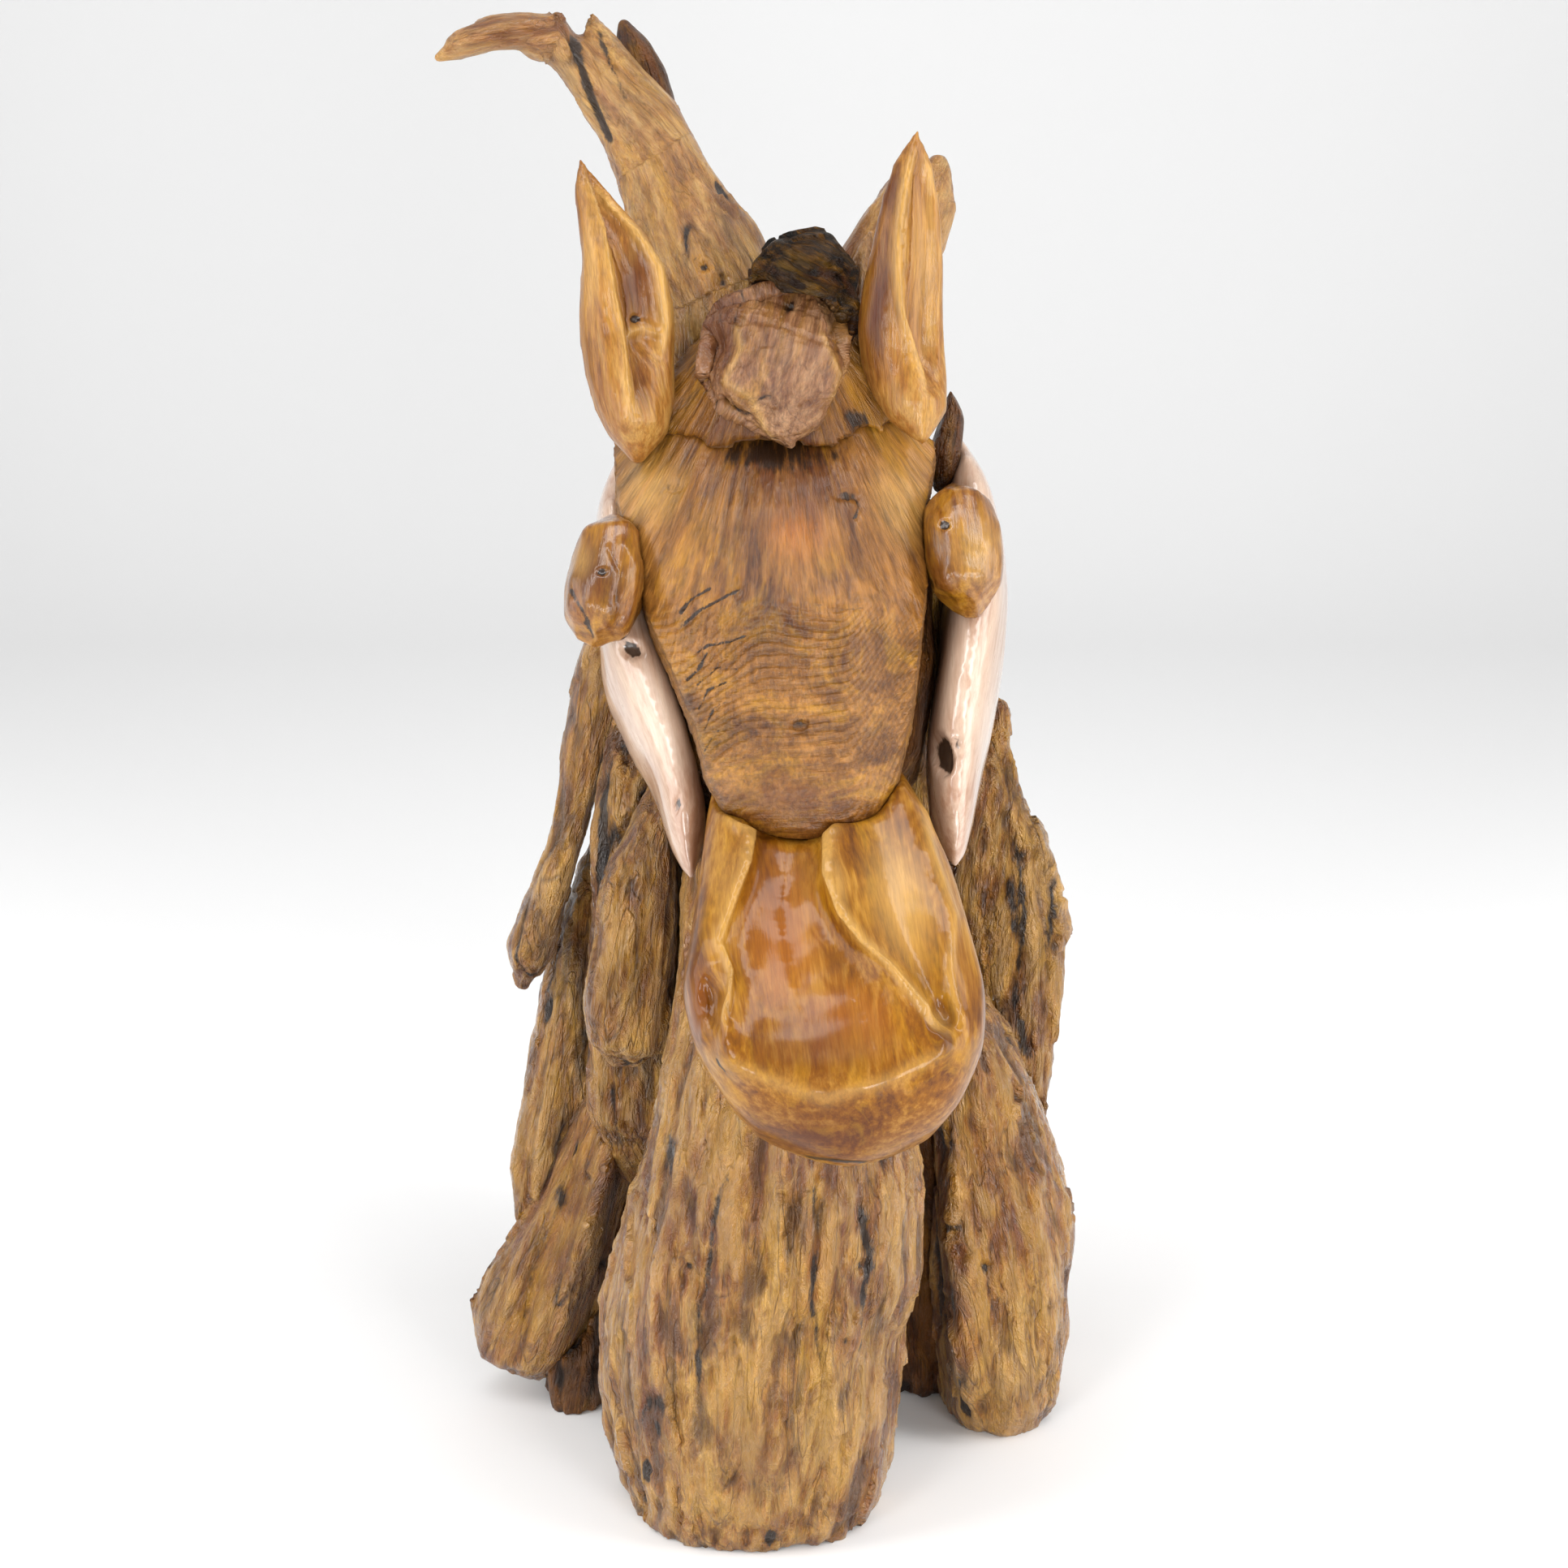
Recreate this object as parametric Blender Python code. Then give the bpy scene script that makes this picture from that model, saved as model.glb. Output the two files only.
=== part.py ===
"""Horse head and neck, assembled from fitted pieces of root wood and standing on its own feet.

Metres, +Z up. The horse looks along -Y, and left and right are as seen from in front of it.
"""

import math
import random

import bmesh
import bpy
import numpy as np
from mathutils import Matrix, Vector

# Driving sizes
HEIGHT = 0.95  # floor to the top of the mane
SEAM = 0.0008  # glue gap between two fitted pieces
PLUG_DIAMETER = 0.0105  # screw holes in the face and cheeks
PLUG_DEPTH = 0.006
KNOT_LENGTH = 0.030  # the open knot in the right cheek
KNOT_WIDTH = 0.014
KNOT_DEPTH = 0.010
WELD = 0.00002  # vertices closer than this after a cut are one
MIN_EDGE = 0.0002  # shortest edge worth keeping on a fitted piece
NUDGE = 0.0001  # how far a cutter moves aside when its cut fails
SLACK = 5e-12  # shared volume below which a cut has worked

# The figure is drawn on a 95 cm tall horse, so its proportions are shares of HEIGHT.
DRAWN_HEIGHT = 95.0
CM = HEIGHT / DRAWN_HEIGHT
FACE_TILT = math.radians(44)  # slope of the face below the horizontal
FACE_TOP = (0.0, -2.0, 69.2)  # where the face meets the forelock
RIGHT = Vector((1, 0, 0))
FRONT = Vector((0, -1, 0))
UP = Vector((0, 0, 1))

# Woods: linear colour and roughness
WOODS = {
    "honey": ((0.36, 0.17, 0.045), 0.35),
    "amber": ((0.33, 0.13, 0.030), 0.25),
    "tan": ((0.50, 0.30, 0.12), 0.35),
    "rosy": ((0.42, 0.22, 0.13), 0.22),
    "bark": ((0.24, 0.11, 0.035), 0.50),
    "charred": ((0.035, 0.025, 0.018), 0.45),
}


def clear_scene():
    for obj in list(bpy.data.objects):
        bpy.data.objects.remove(obj)


def new_collection(name):
    made = bpy.data.collections.new(name)
    bpy.context.scene.collection.children.link(made)
    return made


def wood(name):
    """The Principled material of one kind of wood."""
    if name in bpy.data.materials:
        return bpy.data.materials[name]
    colour, roughness = WOODS[name]
    made = bpy.data.materials.new(name)
    made.use_nodes = True
    shader = made.node_tree.nodes["Principled BSDF"]
    shader.inputs["Base Color"].default_value = (*colour, 1)
    shader.inputs["Roughness"].default_value = roughness
    shader.inputs["Metallic"].default_value = 0.0
    return made


def new_empty(name, parent=None, location=(0, 0, 0), tilt=0.0):
    made = bpy.data.objects.new(name, None)
    made.location = Vector(location) * CM
    made.rotation_euler = (tilt, 0, 0)
    made.parent = parent
    PARTS.objects.link(made)
    return made


def smooth_stations(stations, rings, tip=()):
    """The stations of a loft, read at evenly spaced rings along one smooth curve, and at the tip's."""
    rows = np.array(stations, float)
    steps = np.linalg.norm(np.diff(rows[:, :3], axis=0), axis=1)
    knots = np.concatenate([[0], np.cumsum(steps)])
    slopes = np.gradient(rows, knots, axis=0)
    made = []
    for u in sorted([*np.linspace(0, knots[-1], rings), *(knots[-1] - away for away in tip)]):
        i = min(int(np.searchsorted(knots, u, side="right")) - 1, len(knots) - 2)
        span = knots[i + 1] - knots[i]
        t = (u - knots[i]) / span
        made.append(
            (2 * t**3 - 3 * t**2 + 1) * rows[i]
            + (t**3 - 2 * t**2 + t) * span * slopes[i]
            + (3 * t**2 - 2 * t**3) * rows[i + 1]
            + (t**3 - t**2) * span * slopes[i + 1]
        )
    return np.array(made)


def ridge_height(ridges, angle, share):
    """How far the ridges and grooves of a log move its surface, as a share of its radius."""
    total = 0.0
    for start, end, height, width, first, last in ridges:
        middle = math.radians(start + (end - start) * share)
        away = (angle - middle + math.pi) % (2 * math.pi) - math.pi
        along = min(1.0, max(0.0, (share - first) / 0.12), max(0.0, (last - share) / 0.12))
        total += height * along * math.exp(-((away / math.radians(width)) ** 2))
    return total


def lumps(name, roughness):
    """An uneven surface as a function of angle and share of the length, the same for the same name."""
    dice = random.Random(name)
    waves = []
    for turns, along in ((1, 1.3), (2, 2.2), (3, 1.1), (4, 3.1), (5, 2.4)):
        waves.append((turns, along, dice.uniform(0, 2 * math.pi), dice.uniform(0.5, 1) / turns))

    def height(angle, share):
        return roughness * sum(
            size * math.sin(turns * angle + 2 * math.pi * along * share + phase)
            for turns, along, phase, size in waves
        )

    return height


def loft(name, parent, kind, stations, sides=12, rings=10, power=2.3, rough=0.05,
         ridges=(), ends=(0.0, 0.0), face=FRONT, tip=()):
    """A log lofted through stations of (x, y, z, half width, half depth) in drawn centimetres.

    Angles in ridges run from the piece's right (0) by its front (90) to its left (180). ends
    gives the lengths over which the two ends round off, and power how square a section is.
    tip places extra rings near the far end, as distances from it.
    """
    rows = smooth_stations(stations, rings, tip)
    centres = [Vector(row[:3]) for row in rows]
    passed = [0.0]
    for a, b in zip(centres, centres[1:]):
        passed.append(passed[-1] + (b - a).length)
    length = passed[-1]
    uneven = lumps(name, rough)
    bm = bmesh.new()
    loops = []
    across_before = RIGHT
    for n, row in enumerate(rows):
        share = passed[n] / length
        tangent = (centres[min(n + 1, len(rows) - 1)] - centres[max(n - 1, 0)]).normalized()
        depth_axis = (face - tangent * face.dot(tangent)).normalized()
        width_axis = tangent.cross(depth_axis)
        if width_axis.dot(across_before) < 0:
            width_axis.negate()
        across_before = width_axis
        rounding = 1.0
        for reach, away in ((ends[0], share * length), (ends[1], (1 - share) * length)):
            if away < reach:
                rounding *= max(0.22, math.sqrt(1 - (1 - away / reach) ** 2))
        loop = []
        for k in range(sides):
            angle = 2 * math.pi * (k + 0.5) / sides
            c, s = math.cos(angle), math.sin(angle)
            swell = rounding * (1 + uneven(angle, share) + ridge_height(ridges, angle, share))
            across = math.copysign(abs(c) ** (2 / power), c) * row[3] * swell
            deep = math.copysign(abs(s) ** (2 / power), s) * row[4] * swell
            loop.append(bm.verts.new((centres[n] + width_axis * across + depth_axis * deep) * CM))
        loops.append(loop)
    for a, b in zip(loops, loops[1:]):
        for k in range(sides):
            bm.faces.new((a[k], a[(k + 1) % sides], b[(k + 1) % sides], b[k]))
    bm.faces.new(loops[0][::-1])
    bm.faces.new(loops[-1])
    bmesh.ops.recalc_face_normals(bm, faces=bm.faces)
    return finish_piece(name, parent, kind, bm)


def finish_piece(name, parent, kind, bm):
    """Puts a bmesh in a named object, in triangles and with its origin in its middle."""
    middle = sum((v.co for v in bm.verts), Vector()) / len(bm.verts)
    bmesh.ops.translate(bm, verts=bm.verts, vec=-middle)
    bmesh.ops.triangulate(bm, faces=bm.faces)
    mesh = bpy.data.meshes.new(name)
    bm.to_mesh(mesh)
    bm.free()
    made = bpy.data.objects.new(name, mesh)
    made.location = middle
    made.parent = parent
    mesh.materials.append(wood(kind))
    PARTS.objects.link(made)
    return made


def sculpt(obj, dents):
    """Presses hollows into a piece, or pulls swellings out of it.

    Each dent is (centre, radii, push) in drawn centimetres of the piece's parent.
    """
    for vertex in obj.data.vertices:
        place = (vertex.co + obj.location) / CM
        moved = Vector()
        for centre, radii, push in dents:
            q = sum(((place[i] - centre[i]) / radii[i]) ** 2 for i in range(3))
            if q < 1:
                moved += Vector(push) * (1 - q) ** 2
        vertex.co += moved * CM


def world_mesh(obj, swell=0.0):
    """A bmesh of the piece as evaluated, in world space, swollen along its normals."""
    bpy.context.view_layer.update()
    graph = bpy.context.evaluated_depsgraph_get()
    bm = bmesh.new()
    bm.from_object(obj, graph)
    bmesh.ops.transform(bm, matrix=obj.matrix_world, verts=bm.verts)
    bm.normal_update()
    for vertex in bm.verts:
        vertex.co += vertex.normal * swell
    return bm


def boolean(obj, other, operation, careful=False):
    """One Boolean of the piece with another object, as a new mesh."""
    step = obj.modifiers.new(operation.lower(), "BOOLEAN")
    step.operation = operation
    step.solver = "EXACT"
    step.use_self = careful
    step.object = other
    bpy.context.view_layer.update()
    graph = bpy.context.evaluated_depsgraph_get()
    made = bpy.data.meshes.new_from_object(obj.evaluated_get(graph))
    obj.modifiers.clear()
    bm = bmesh.new()
    bm.from_mesh(made)
    bmesh.ops.triangulate(bm, faces=bm.faces)
    bmesh.ops.remove_doubles(bm, verts=bm.verts, dist=WELD)
    bm.to_mesh(made)
    bm.free()
    return made


def closed_volume(mesh):
    """The volume of a mesh, or nothing when it isn't closed."""
    bm = bmesh.new()
    bm.from_mesh(mesh)
    volume = bm.calc_volume() if all(edge.is_manifold for edge in bm.edges) else 0.0
    bm.free()
    return volume


def sum_volume(mesh):
    """The volume between the faces of a mesh, closed or not."""
    bm = bmesh.new()
    bm.from_mesh(mesh)
    volume = abs(bm.calc_volume())
    bm.free()
    return volume


def take_mesh(obj, made):
    old = obj.data
    obj.data = made
    bpy.data.meshes.remove(old)
    obj.data.name = obj.name


def overlap(obj, mesh, other):
    """The volume a mesh would share with another object."""
    probe = bpy.data.objects.new("probe", mesh)
    probe.matrix_world = obj.matrix_world.copy()
    bpy.context.scene.collection.objects.link(probe)
    shared = boolean(probe, other, "INTERSECT")
    volume = sum_volume(shared)
    bpy.data.objects.remove(probe)
    bpy.data.meshes.remove(shared)
    return volume


def cut(obj, cutter_mesh, clear_of=None):
    """Cuts a bmesh in world space out of a piece, and tries again until it is clear of a neighbour."""
    mesh = bpy.data.meshes.new("cutter")
    cutter_mesh.to_mesh(mesh)
    cutter_mesh.free()
    cutter = bpy.data.objects.new("cutter", mesh)
    bpy.context.scene.collection.objects.link(cutter)
    for careful, nudge in ((False, 0.0), (True, 0.0), (False, NUDGE), (True, NUDGE), (False, -NUDGE)):
        cutter.location = (nudge, nudge, nudge)
        made = boolean(obj, cutter, "DIFFERENCE", careful)
        if closed_volume(made) > 0 and (clear_of is None or overlap(obj, made, clear_of) < SLACK):
            break
    take_mesh(obj, made)
    bpy.data.objects.remove(cutter)
    bpy.data.meshes.remove(mesh)


def fuse(main, *others):
    """Joins the other lofts to the first, as one grown piece of wood."""
    for other in others:
        take_mesh(main, boolean(main, other, "UNION"))
        bpy.data.objects.remove(other)
    return main


def keep_largest(obj):
    """Drops the chips that fitting cuts off, and merges its shortest edges where that keeps it closed."""
    bm = bmesh.new()
    bm.from_mesh(obj.data)
    bmesh.ops.remove_doubles(bm, verts=bm.verts, dist=MIN_EDGE)
    bmesh.ops.dissolve_degenerate(bm, edges=bm.edges, dist=WELD)
    if not all(edge.is_manifold for edge in bm.edges):
        bm.free()
        bm = bmesh.new()
        bm.from_mesh(obj.data)
    left = set(bm.verts)
    islands = []
    while left:
        todo = [left.pop()]
        island = set(todo)
        while todo:
            for edge in todo.pop().link_edges:
                for vertex in edge.verts:
                    if vertex not in island:
                        island.add(vertex)
                        todo.append(vertex)
        left -= island
        islands.append(island)
    biggest = max(islands, key=len)
    chips = [v for v in bm.verts if v not in biggest]
    bmesh.ops.delete(bm, geom=chips, context="VERTS")
    bm.to_mesh(obj.data)
    bm.free()


def span(obj):
    corners = [obj.matrix_world @ v.co for v in obj.data.vertices]
    low = Vector([min(c[i] for c in corners) for i in range(3)])
    high = Vector([max(c[i] for c in corners) for i in range(3)])
    return low, high


def near(a, b):
    (low_a, high_a), (low_b, high_b) = span(a), span(b)
    return all(low_a[i] < high_b[i] + SEAM and low_b[i] < high_a[i] + SEAM for i in range(3))


def scribe(pieces):
    """Fits the pieces: each is cut to the shape of those before it in the list, less the glue gap."""
    bpy.context.view_layer.update()
    for n, piece in enumerate(pieces):
        for placed in pieces[:n]:
            if near(piece, placed):
                cut(piece, world_mesh(placed, SEAM), placed)
        keep_largest(piece)


def level_feet(pieces):
    """Saws the standing pieces off flat at the floor."""
    for piece in pieces:
        bm = bmesh.new()
        bm.from_mesh(piece.data)
        floor = piece.matrix_world.inverted() @ Vector((0, 0, 0))
        sawn = bmesh.ops.bisect_plane(
            bm, geom=bm.verts[:] + bm.edges[:] + bm.faces[:], plane_co=floor, plane_no=UP, clear_inner=True
        )
        rim = [g for g in sawn["geom_cut"] if isinstance(g, bmesh.types.BMEdge)]
        bmesh.ops.contextual_create(bm, geom=rim)
        bmesh.ops.triangulate(bm, faces=bm.faces)
        bmesh.ops.recalc_face_normals(bm, faces=bm.faces)
        bm.to_mesh(piece.data)
        bm.free()


def drill(obj, parent, place, direction, diameter, depth, stretch=1.0, turn=0.0):
    """Sinks a blind hole into a piece; stretch lengthens it along the parent's Y, turned by turn."""
    bm = bmesh.new()
    bmesh.ops.create_cone(
        bm, cap_ends=True, segments=10, radius1=diameter / 2, radius2=diameter / 2, depth=depth * 2
    )
    aim = Vector(direction).normalized().to_track_quat("Z", "Y").to_matrix().to_4x4()
    shape = Matrix.Diagonal((1, stretch, 1, 1))
    where = Matrix.Translation(Vector(place) * CM) @ aim @ Matrix.Rotation(turn, 4, "Z") @ shape
    bmesh.ops.transform(bm, matrix=parent.matrix_world @ where, verts=bm.verts)
    cut(obj, bm)


def along_face(rows):
    """Stations given as (distance down the face, x, height, half width, half height) in the head's axes."""
    return [(x, -down, height, half_x, half_h) for down, x, height, half_x, half_h in rows]


def make_face(head):
    """The forehead and nose, one shield-shaped block."""
    stations = along_face([
        (-6.3, -0.4, -4.7, 9.4, 3.2),
        (-3.4, -0.4, -4.1, 10.5, 3.8),
        (1.0, -0.6, -3.9, 10.4, 4.4),
        (5.4, -0.4, -4.0, 9.6, 4.8),
        (10.3, 0.2, -4.1, 8.9, 4.9),
        (15.7, 0.8, -3.8, 7.6, 4.6),
        (20.1, 1.2, -3.2, 6.6, 3.9),
        (24.0, 1.1, -2.6, 5.7, 2.9),
        (27.2, 1.0, -2.3, 5.0, 2.3),
    ])
    face = loft("face_plate", head, "honey", stations, sides=14, rings=9, power=2.5, rough=0.02,
                ends=(1.0, 3.6), face=UP, tip=(1.9, 0.8, 0.25))
    sculpt(face, [((0.5, -6.0, 1.0), (7, 7, 4), (0, 0, 0.5))])
    return face


def make_muzzle(head):
    """The muzzle: a wide scooped bridge between two ridges, two nostrils and a rounded lip.

    Its lines are (distance down the face, x, height) in the head's axes, and each ring runs through them.
    """
    block = np.array([  # distance, x, height, half width and half height before carving
        (20.5, 1.4, -6.4, 5.6, 3.6),
        (23.8, 2.0, -6.1, 6.7, 4.0),
        (28.6, 2.6, -5.4, 7.7, 4.5),
        (33.1, 2.8, -4.9, 8.4, 4.9),
        (36.3, 2.9, -4.8, 9.0, 5.2),
        (39.6, 3.2, -4.9, 8.7, 5.3),
        (42.8, 3.5, -5.1, 7.3, 5.0),
        (45.2, 3.7, -5.6, 5.3, 4.1),
        (46.8, 3.8, -6.2, 3.0, 2.9),
    ])
    left_ridge = [(20.5, -2.6, -3.4), (26.6, -3.0, -1.9), (28.3, -1.9, -0.9), (30.2, -2.1, -0.5), (32.8, -2.9, -0.6),
                  (35.6, -3.7, -0.8), (37.5, -3.1, -0.4), (39.1, -3.1, -0.2), (41.3, -3.6, -0.5), (43.4, -3.6, -1.4)]
    bridge = [(20.5, 0.4, -4.4), (26.6, 0.2, -3.2), (28.3, 0.2, -2.7), (33.2, -0.2, -2.2), (38.0, 0.6, -1.7),
              (41.6, 1.6, -1.0), (44.0, 2.4, -0.9)]
    right_ridge = [(20.5, 3.4, -3.2), (26.6, 3.2, -1.6), (28.7, 2.6, -0.2), (31.3, 2.6, 0.5), (33.9, 3.4, 0.6),
                   (35.7, 4.5, 0.5), (37.3, 6.0, 0.3), (39.6, 7.7, 0.2), (41.9, 9.6, -0.4), (43.4, 9.2, -1.6)]
    channel = [(20.5, 4.6, -3.4), (26.6, 5.0, -2.1), (31.0, 5.6, -1.4), (34.3, 6.8, -1.3), (36.9, 8.2, -1.6),
               (39.9, 9.3, -2.2), (41.6, 10.1, -1.4), (43.4, 9.5, -2.2)]
    outer_edge = [(20.5, 5.8, -3.6), (23.5, 7.2, -2.6), (25.4, 8.0, -2.3), (29.1, 8.7, -1.9), (33.5, 9.9, -1.6),
                  (37.0, 10.0, -1.4), (41.1, 10.5, -1.2), (43.4, 9.8, -2.6)]
    nostril = [(20.5, 0.0), (36.4, 0.0), (38.2, 2.0), (41.0, 2.0), (42.8, 0.4), (43.4, 0.0)]

    def read(line, down, column):
        return float(np.interp(down, [p[0] for p in line], [p[column] for p in line]))

    bm = bmesh.new()
    loops = []
    for down in np.concatenate([[20.5, 24.5], np.linspace(28.0, 43.4, 10), [44.8, 46.0, 46.8]]):
        x, height, wide, high = (float(np.interp(down, block[:, 0], block[:, k])) for k in range(1, 5))
        rounding = math.sqrt(max(0.05, 1 - max(0.0, 1 - (46.8 - down) / 2.6) ** 2))
        wide *= rounding
        high *= rounding
        plain = [
            (x + wide * math.copysign(abs(math.cos(a)) ** 0.77, math.cos(a)), height + high * abs(math.sin(a)) ** 0.77)
            for a in np.linspace(math.pi, 0, 13)
        ]
        ridge, low, crest, groove, edge = (
            (read(line, down, 1), read(line, down, 2)) for line in (left_ridge, bridge, right_ridge, channel, outer_edge)
        )
        scoop = read(nostril, down, 1)
        flank = ((plain[1][0] + ridge[0]) / 2 - 0.2, (plain[2][1] + ridge[1]) / 2 - 0.1 - scoop)
        carved = [
            plain[0], plain[1], (plain[1][0] + 0.5, plain[2][1] + 0.1), flank, ridge,
            ((ridge[0] * 3 + low[0]) / 4, low[1] + (ridge[1] - low[1]) * 0.35), low,
            ((crest[0] * 3 + low[0]) / 4, low[1] + (crest[1] - low[1]) * 0.3), crest, groove, edge,
            (plain[11][0], min(edge[1] - 0.8, plain[11][1])), plain[12],
        ]
        blend = min(1.0, max(0.0, (down - 42.6) / 1.9))
        loop = [(a[0] + (b[0] - a[0]) * blend, a[1] + (b[1] - a[1]) * blend) for a, b in zip(carved, plain)]
        under = ((0.86, 0.6), (0.45, 0.93), (-0.1, 1.0), (-0.55, 0.9), (-0.9, 0.55))
        loop += [(x + wide * c, height - high * s) for c, s in under]
        loops.append([bm.verts.new(Vector((px, -down, pz)) * CM) for px, pz in loop])
    count = len(loops[0])
    for a, b in zip(loops, loops[1:]):
        for k in range(count):
            bm.faces.new((a[k], a[(k + 1) % count], b[(k + 1) % count], b[k]))
    bm.faces.new(loops[0][::-1])
    bm.faces.new(loops[-1])
    bmesh.ops.recalc_face_normals(bm, faces=bm.faces)
    return finish_piece("muzzle", head, "amber", bm)


def make_cheeks(head):
    """The two jaw plates, round behind and drawn to a point beside the muzzle."""
    left = loft("cheek_left", head, "rosy", along_face([
        (-4.2, -10.5, -6.6, 0.9, 2.4),
        (-1.0, -10.8, -8.8, 1.5, 4.8),
        (4.5, -10.3, -10.8, 1.9, 6.8),
        (9.5, -10.2, -11.0, 1.9, 6.9),
        (13.3, -9.0, -10.6, 2.1, 6.2),
        (16.9, -7.5, -9.9, 1.9, 5.2),
        (20.8, -6.4, -9.0, 1.5, 3.9),
        (24.5, -6.0, -8.3, 1.1, 2.6),
        (27.8, -5.8, -7.8, 0.6, 1.2),
    ]), sides=9, rings=9, power=2.2, rough=0.02, ends=(2.0, 1.5), face=UP)
    right = loft("cheek_right", head, "rosy", along_face([
        (-5.4, 11.0, -5.4, 0.5, 2.0),
        (-2.3, 11.8, -7.6, 1.3, 4.6),
        (0.6, 12.3, -10.0, 1.9, 6.4),
        (6.3, 12.5, -11.2, 2.2, 7.4),
        (12.0, 11.9, -10.8, 2.1, 6.9),
        (17.5, 10.9, -9.6, 1.9, 5.4),
        (21.9, 10.5, -8.6, 1.4, 3.9),
        (26.9, 10.7, -7.6, 0.7, 1.8),
    ]), sides=9, rings=9, power=2.2, rough=0.02, ends=(2.0, 1.5), face=UP)
    return left, right


def make_eyes(head):
    """Two root knobs for eyes, long across the brow."""
    left = loft("eye_left", head, "amber", along_face([
        (3.8, -10.8, -3.0, 1.6, 1.7),
        (6.2, -10.9, -2.9, 2.4, 2.5),
        (8.8, -11.0, -3.0, 2.7, 2.7),
        (11.4, -11.7, -3.2, 2.2, 2.5),
        (13.6, -12.2, -3.5, 1.2, 1.7),
    ]), sides=9, rings=6, power=2.2, rough=0.05, ends=(2.0, 2.0), face=UP)
    right = loft("eye_right", head, "honey", along_face([
        (1.5, 10.9, -3.0, 1.4, 1.6),
        (3.8, 11.1, -2.9, 2.3, 2.4),
        (6.4, 11.3, -2.9, 2.6, 2.6),
        (9.0, 11.6, -3.1, 2.2, 2.4),
        (11.1, 11.8, -3.4, 1.3, 1.6),
    ]), sides=9, rings=6, power=2.2, rough=0.05, ends=(1.8, 1.8), face=UP)
    return left, right


def make_ears(neck):
    """Two leaf-shaped ears, hollowed on the side that faces forward and out."""
    left = loft("ear_left", neck, "rosy", [
        (-9.3, -3.2, 68.0, 1.2, 1.9),
        (-9.3, -2.2, 69.8, 1.9, 2.6),
        (-9.5, -1.3, 71.6, 2.6, 2.8),
        (-9.8, -0.6, 73.6, 2.9, 2.7),
        (-9.9, 0.0, 76.3, 3.1, 2.3),
        (-10.1, 0.5, 78.6, 2.9, 2.2),
        (-10.8, 1.0, 81.2, 2.2, 1.8),
        (-12.2, 1.6, 84.0, 1.1, 1.0),
        (-13.0, 2.0, 86.6, 0.3, 0.4),
    ], sides=11, rings=11, power=2.0, rough=0.01,
        ridges=[(100, 112, 0.16, 20, 0.0, 1.0), (48, 55, -0.42, 26, 0.28, 0.98)], ends=(1.5, 0.5))
    right = loft("ear_right", neck, "tan", [
        (8.8, -3.6, 69.4, 1.1, 1.2),
        (8.5, -2.4, 71.0, 1.9, 1.7),
        (8.0, -1.0, 72.8, 2.5, 2.1),
        (7.5, 0.0, 75.0, 2.8, 2.3),
        (7.5, 0.5, 77.4, 2.7, 2.2),
        (7.8, 1.0, 80.3, 2.4, 2.0),
        (8.0, 1.5, 83.4, 1.9, 1.6),
        (8.2, 1.9, 86.0, 1.3, 1.0),
        (8.4, 2.0, 88.2, 0.4, 0.5),
    ], sides=11, rings=11, power=2.0, rough=0.01,
        ridges=[(96, 88, 0.20, 18, 0.0, 1.0), (52, 50, -0.36, 26, 0.12, 0.98)], ends=(1.5, 0.5))
    return left, right


def make_forelock(head, neck):
    """The rough chunk on the brow and the charred knob behind it."""
    chunk = loft("forelock_chunk", head, "rosy", along_face([
        (-10.2, -1.6, 2.2, 3.2, 1.8),
        (-8.6, -1.4, 2.3, 4.4, 2.6),
        (-6.6, -0.7, 2.4, 4.9, 2.9),
        (-4.0, -0.5, 2.2, 5.2, 2.7),
        (-1.9, -0.6, 1.9, 4.8, 2.4),
        (-0.6, -0.1, 1.5, 3.2, 1.9),
        (0.5, -0.3, 1.2, 1.6, 1.3),
        (1.9, -0.6, 1.0, 0.6, 0.7),
    ]), sides=10, rings=8, power=2.7, rough=0.09, ridges=[(70, 60, 0.12, 25, 0.0, 0.8)],
        ends=(1.0, 0.4), face=UP)
    knob = loft("forelock_knob", neck, "charred", [
        (1.2, 1.2, 74.0, 3.2, 2.6),
        (1.2, 1.8, 76.0, 3.6, 2.9),
        (1.3, 2.4, 78.0, 3.7, 2.9),
        (1.8, 2.9, 80.0, 3.2, 2.5),
        (2.4, 3.2, 81.8, 2.4, 1.8),
    ], sides=8, rings=6, power=2.8, rough=0.09, ends=(0.0, 1.2))
    return chunk, knob


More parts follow.
